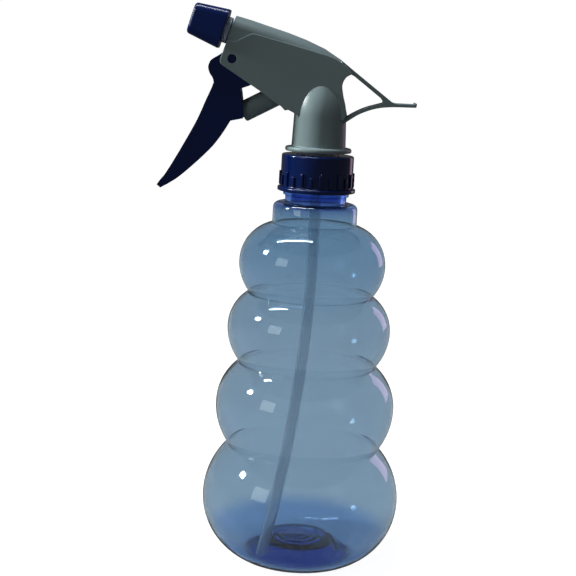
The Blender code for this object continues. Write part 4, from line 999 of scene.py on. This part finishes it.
class BuildNozzle(Operator):
    """Shape the nozzle cap from a tapered block, and turn the spout that it screws on"""
    bl_idname = "sprayer.build_nozzle"
    bl_label = "Nozzle cap and spout"

    def execute(self, context):
        sizes = context.scene.sprayer_sizes
        self.cap(sizes)
        self.spout()
        fit_spring("outlet_coil", "outlet_spring", NOZZLE, NOZZLE_AXIS,
                   (0.4, 4.7), 1.7 * MM, 0.22 * MM, 4)
        return {"FINISHED"}

    def cap(self, sizes):
        """Built upright over the world's origin, then laid on the nozzle's axis."""
        size = sizes.cap_length
        rear, tip = sizes.cap_rear, sizes.cap_front
        bpy.ops.mesh.primitive_cube_add(size=1, location=(0, 0, size / 2),
                                        scale=(2 * rear, 2 * rear, size))
        cap = start_piece("nozzle_cap_block")
        pick(cap, "FACE", lambda mid, n: n.z > 0.9)
        bpy.ops.transform.resize(value=(tip / rear, tip / rear, 1))
        round_edges(cap, 3.3 * MM, 8, lambda mid, e: 0.2 * size < mid.z < 0.8 * size)
        round_edges(cap, 1.2 * MM, 5, lambda mid, e: mid.z > size - NEAR)
        round_edges(cap, 0.4 * MM, 3, lambda mid, e: mid.z < NEAR)
        clean(cap)
        bore_r, bore_end = 5.65 * MM, size - 2.7 * MM
        dimple_low, dimple_r, mouth_r = size - 0.9 * MM, 2.1 * MM, 2.75 * MM
        bore = [(0.0, -MM), (bore_r, -MM), (bore_r, bore_end), (0.0, bore_end)]
        dimple = soften([(0.0, dimple_low), (dimple_r, dimple_low, 0.3 * MM), (mouth_r, size + MM),
                         (0.0, size + MM)])
        orifice = [(0.0, size - 4 * MM), (0.5 * MM, size - 4 * MM), (0.5 * MM, size), (0.0, size)]
        for profile, steps in ((bore, 48), (dimple, 48), (orifice, 20)):
            combine(cap, lathe("drill", profile, steps, base=Vector((0, 0, 0))), "DIFFERENCE")
        lay_on(cap, NOZZLE, NOZZLE_AXIS)
        smooth(cap, 30, flats=True)
        finish_piece(cap, "satin_navy", "nozzle_cap", "nozzle_cap", slot="navy")

    def spout(self):
        bore, barrel, stem, pipe, ring = (r * MM for r in (3.3, 4.7, 3.4, 2.1, 5.6))
        front, rear, ring_low, ring_top = (z * MM for z in (10.0, -9.5, -2.3, -0.3))
        profile = soften([
            (pipe, rear), (stem, rear, 0.2 * MM), (stem, ring_low), (ring, ring_low, 0.35 * MM),
            (ring, ring_top, 0.35 * MM), (barrel, ring_top), (barrel, front, 0.3 * MM),
            (bore, front, 0.2 * MM), (bore, -MM), (pipe, -MM)], closed=True)
        spout = lathe("spout_barrel", profile, 56, base=NOZZLE, axis=NOZZLE_AXIS)
        smooth(spout)
        finish_piece(spout, "natural_pp", "head", "spout", slot="natural")


# ---- carried parts and studio

INNER_PARTS = {
    "pump_body": "natural_pp", "tube_adapter": "natural_pp", "ball_cage": "natural_pp",
    "cylinder_gland": "natural_pp", "swirl_core": "natural_pp", "neck_gasket": "soft_seal",
    "piston_seal": "soft_seal", "outlet_valve": "soft_seal", "nozzle_seal": "soft_seal",
    "inlet_ball": "drawn_steel",
}


class FinishInnerParts(Operator):
    """Give the pump's inner parts, which keep their moulded shapes, their own finishes"""
    bl_idname = "sprayer.finish_inner_parts"
    bl_label = "Inner parts"

    def execute(self, context):
        for node, finish in INNER_PARTS.items():
            part = frame["nodes"][node]
            part.data.materials.clear()
            part.data.materials.append(material(finish))
        return {"FINISHED"}


# Where each light hangs, its width and height, its power, its tint and its turn in degrees.
LIGHTS = {
    "window": ((-1.09, -0.06, 0.67), 0.15, 0.13, 13.0, (0.92, 1.0, 0.97), 0),
    "ceiling_tube": ((-0.42, -0.02, 1.34), 0.07, 0.90, 13.0, (0.93, 0.98, 1.0), -19),
    "pink_wall": ((0.72, 0.72, 0.30), 0.30, 0.50, 0.55, (1.0, 0.62, 0.96), 0),
    "doorway": ((-0.86, -0.74, 0.44), 0.40, 0.40, 1.1, (0.93, 1.0, 0.94), 0),
}
CAMERA_PLACE = (-4.7 * MM, -0.58, 0.2235)
CAMERA_PITCH = math.radians(10)
CAMERA_ROLL = math.radians(3)
CAMERA_LENS = 84.3
CAMERA_SHIFT = -0.021


class SetStudio(Operator):
    """Lay the pale floor, hang the soft lights and place the camera"""
    bl_idname = "sprayer.set_studio"
    bl_label = "Studio"

    def execute(self, context):
        self.floor()
        self.lights()
        self.camera(context)
        self.world(context)
        return {"FINISHED"}

    def floor(self):
        """A round floor that sweeps up into a wall, and keeps its light off the object."""
        rim = arc((2.4, 0.6), 0.6, -90, 0, 12)
        sweep = lathe("studio_sweep", [(0.0, 0.0)] + rim + [(3.0, 2.4)], 64)
        smooth(sweep, 60)
        paint = Shader("pale_paper")
        fibre = paint.noise(3 * MM, 4.0)
        paint.surface(Base_Color=paint.mix(fibre, (0.30, 0.30, 0.30), (0.33, 0.33, 0.33)),
                      Roughness=0.9, Emission_Color=(1.0, 1.0, 1.0), Emission_Strength=0.95)
        sweep.data.materials.append(paint.material)
        sweep.visible_diffuse = False
        sweep.visible_glossy = False
        sweep.visible_shadow = False

    def lights(self):
        """A window at the left, a tube overhead, a pink light behind and a dim doorway."""
        aim = HEAD + Vector((-0.02, 0, 0.03))
        for name, (where, width, height, power, tint, turn) in LIGHTS.items():
            facing = (aim - Vector(where)).to_track_quat("-Z", "Y")
            facing = facing @ Quaternion((0, 0, 1), math.radians(turn))
            bpy.ops.object.light_add(type="AREA", location=where, rotation=facing.to_euler())
            light = bpy.context.object
            light.name = name
            light.visible_camera = False
            light.data.shape = "RECTANGLE"
            light.data.size = width
            light.data.size_y = height
            light.data.energy = power
            light.data.color = tint

    def camera(self, context):
        """Look slightly down at the bottle, with the frame rolled a little."""
        ahead = Vector((0, math.cos(CAMERA_PITCH), -math.sin(CAMERA_PITCH)))
        level = Vector((1, 0, 0))
        up = level.cross(ahead)
        right = level * math.cos(CAMERA_ROLL) + up * math.sin(CAMERA_ROLL)
        top = up * math.cos(CAMERA_ROLL) - level * math.sin(CAMERA_ROLL)
        turn = Matrix((right, top, -ahead)).transposed().to_4x4()
        where = STAND + Vector(CAMERA_PLACE)
        bpy.ops.object.camera_add(location=where)
        camera = bpy.context.object
        camera.name = "studio_camera"
        camera.matrix_world = Matrix.Translation(where) @ turn
        camera.data.sensor_width = 36
        camera.data.lens = CAMERA_LENS
        camera.data.shift_x = CAMERA_SHIFT
        camera.data.clip_start = 0.01
        context.scene.camera = camera

    def world(self, context):
        world = bpy.data.worlds.new("studio_air")
        context.scene.world = world
        world.use_nodes = True
        sky = world.node_tree.nodes["Background"]
        sky.inputs["Color"].default_value = (1.0, 1.0, 1.0, 1.0)
        sky.inputs["Strength"].default_value = 0.09
        context.scene.view_settings.view_transform = "Standard"


# ---- add-on

class SprayerPanel(Panel):
    """The pieces in the order in which they are built"""
    bl_idname = "VIEW3D_PT_sprayer"
    bl_label = "Spray bottle"
    bl_space_type = "VIEW_3D"
    bl_region_type = "UI"
    bl_category = "Sprayer"

    def draw(self, context):
        scene = context.scene
        for group in (scene.bottle_sizes, scene.sprayer_sizes, scene.sprayer_finishes):
            box = self.layout.box()
            for name in group.__annotations__:
                box.prop(group, name)
        for step in STEPS:
            self.layout.operator(step.bl_idname)


GROUPS = (BottleSizes, SprayerSizes, Finishes)
STEPS = (SetStudio, BuildBottle, BuildDipTube, BuildCollar, BuildShroud, BuildTrigger, BuildPiston,
         BuildNozzle, FinishInnerParts)


def register():
    for item in (*GROUPS, *STEPS, SprayerPanel):
        bpy.utils.register_class(item)
    bpy.types.Scene.bottle_sizes = PointerProperty(type=BottleSizes)
    bpy.types.Scene.sprayer_sizes = PointerProperty(type=SprayerSizes)
    bpy.types.Scene.sprayer_finishes = PointerProperty(type=Finishes)


def unregister():
    del bpy.types.Scene.sprayer_finishes
    del bpy.types.Scene.sprayer_sizes
    del bpy.types.Scene.bottle_sizes
    for item in reversed((*GROUPS, *STEPS, SprayerPanel)):
        bpy.utils.unregister_class(item)


def main():
    register()
    for step in STEPS:
        group, name = step.bl_idname.split(".")
        getattr(getattr(bpy.ops, group), name)()


if __name__ == "__main__":
    main()
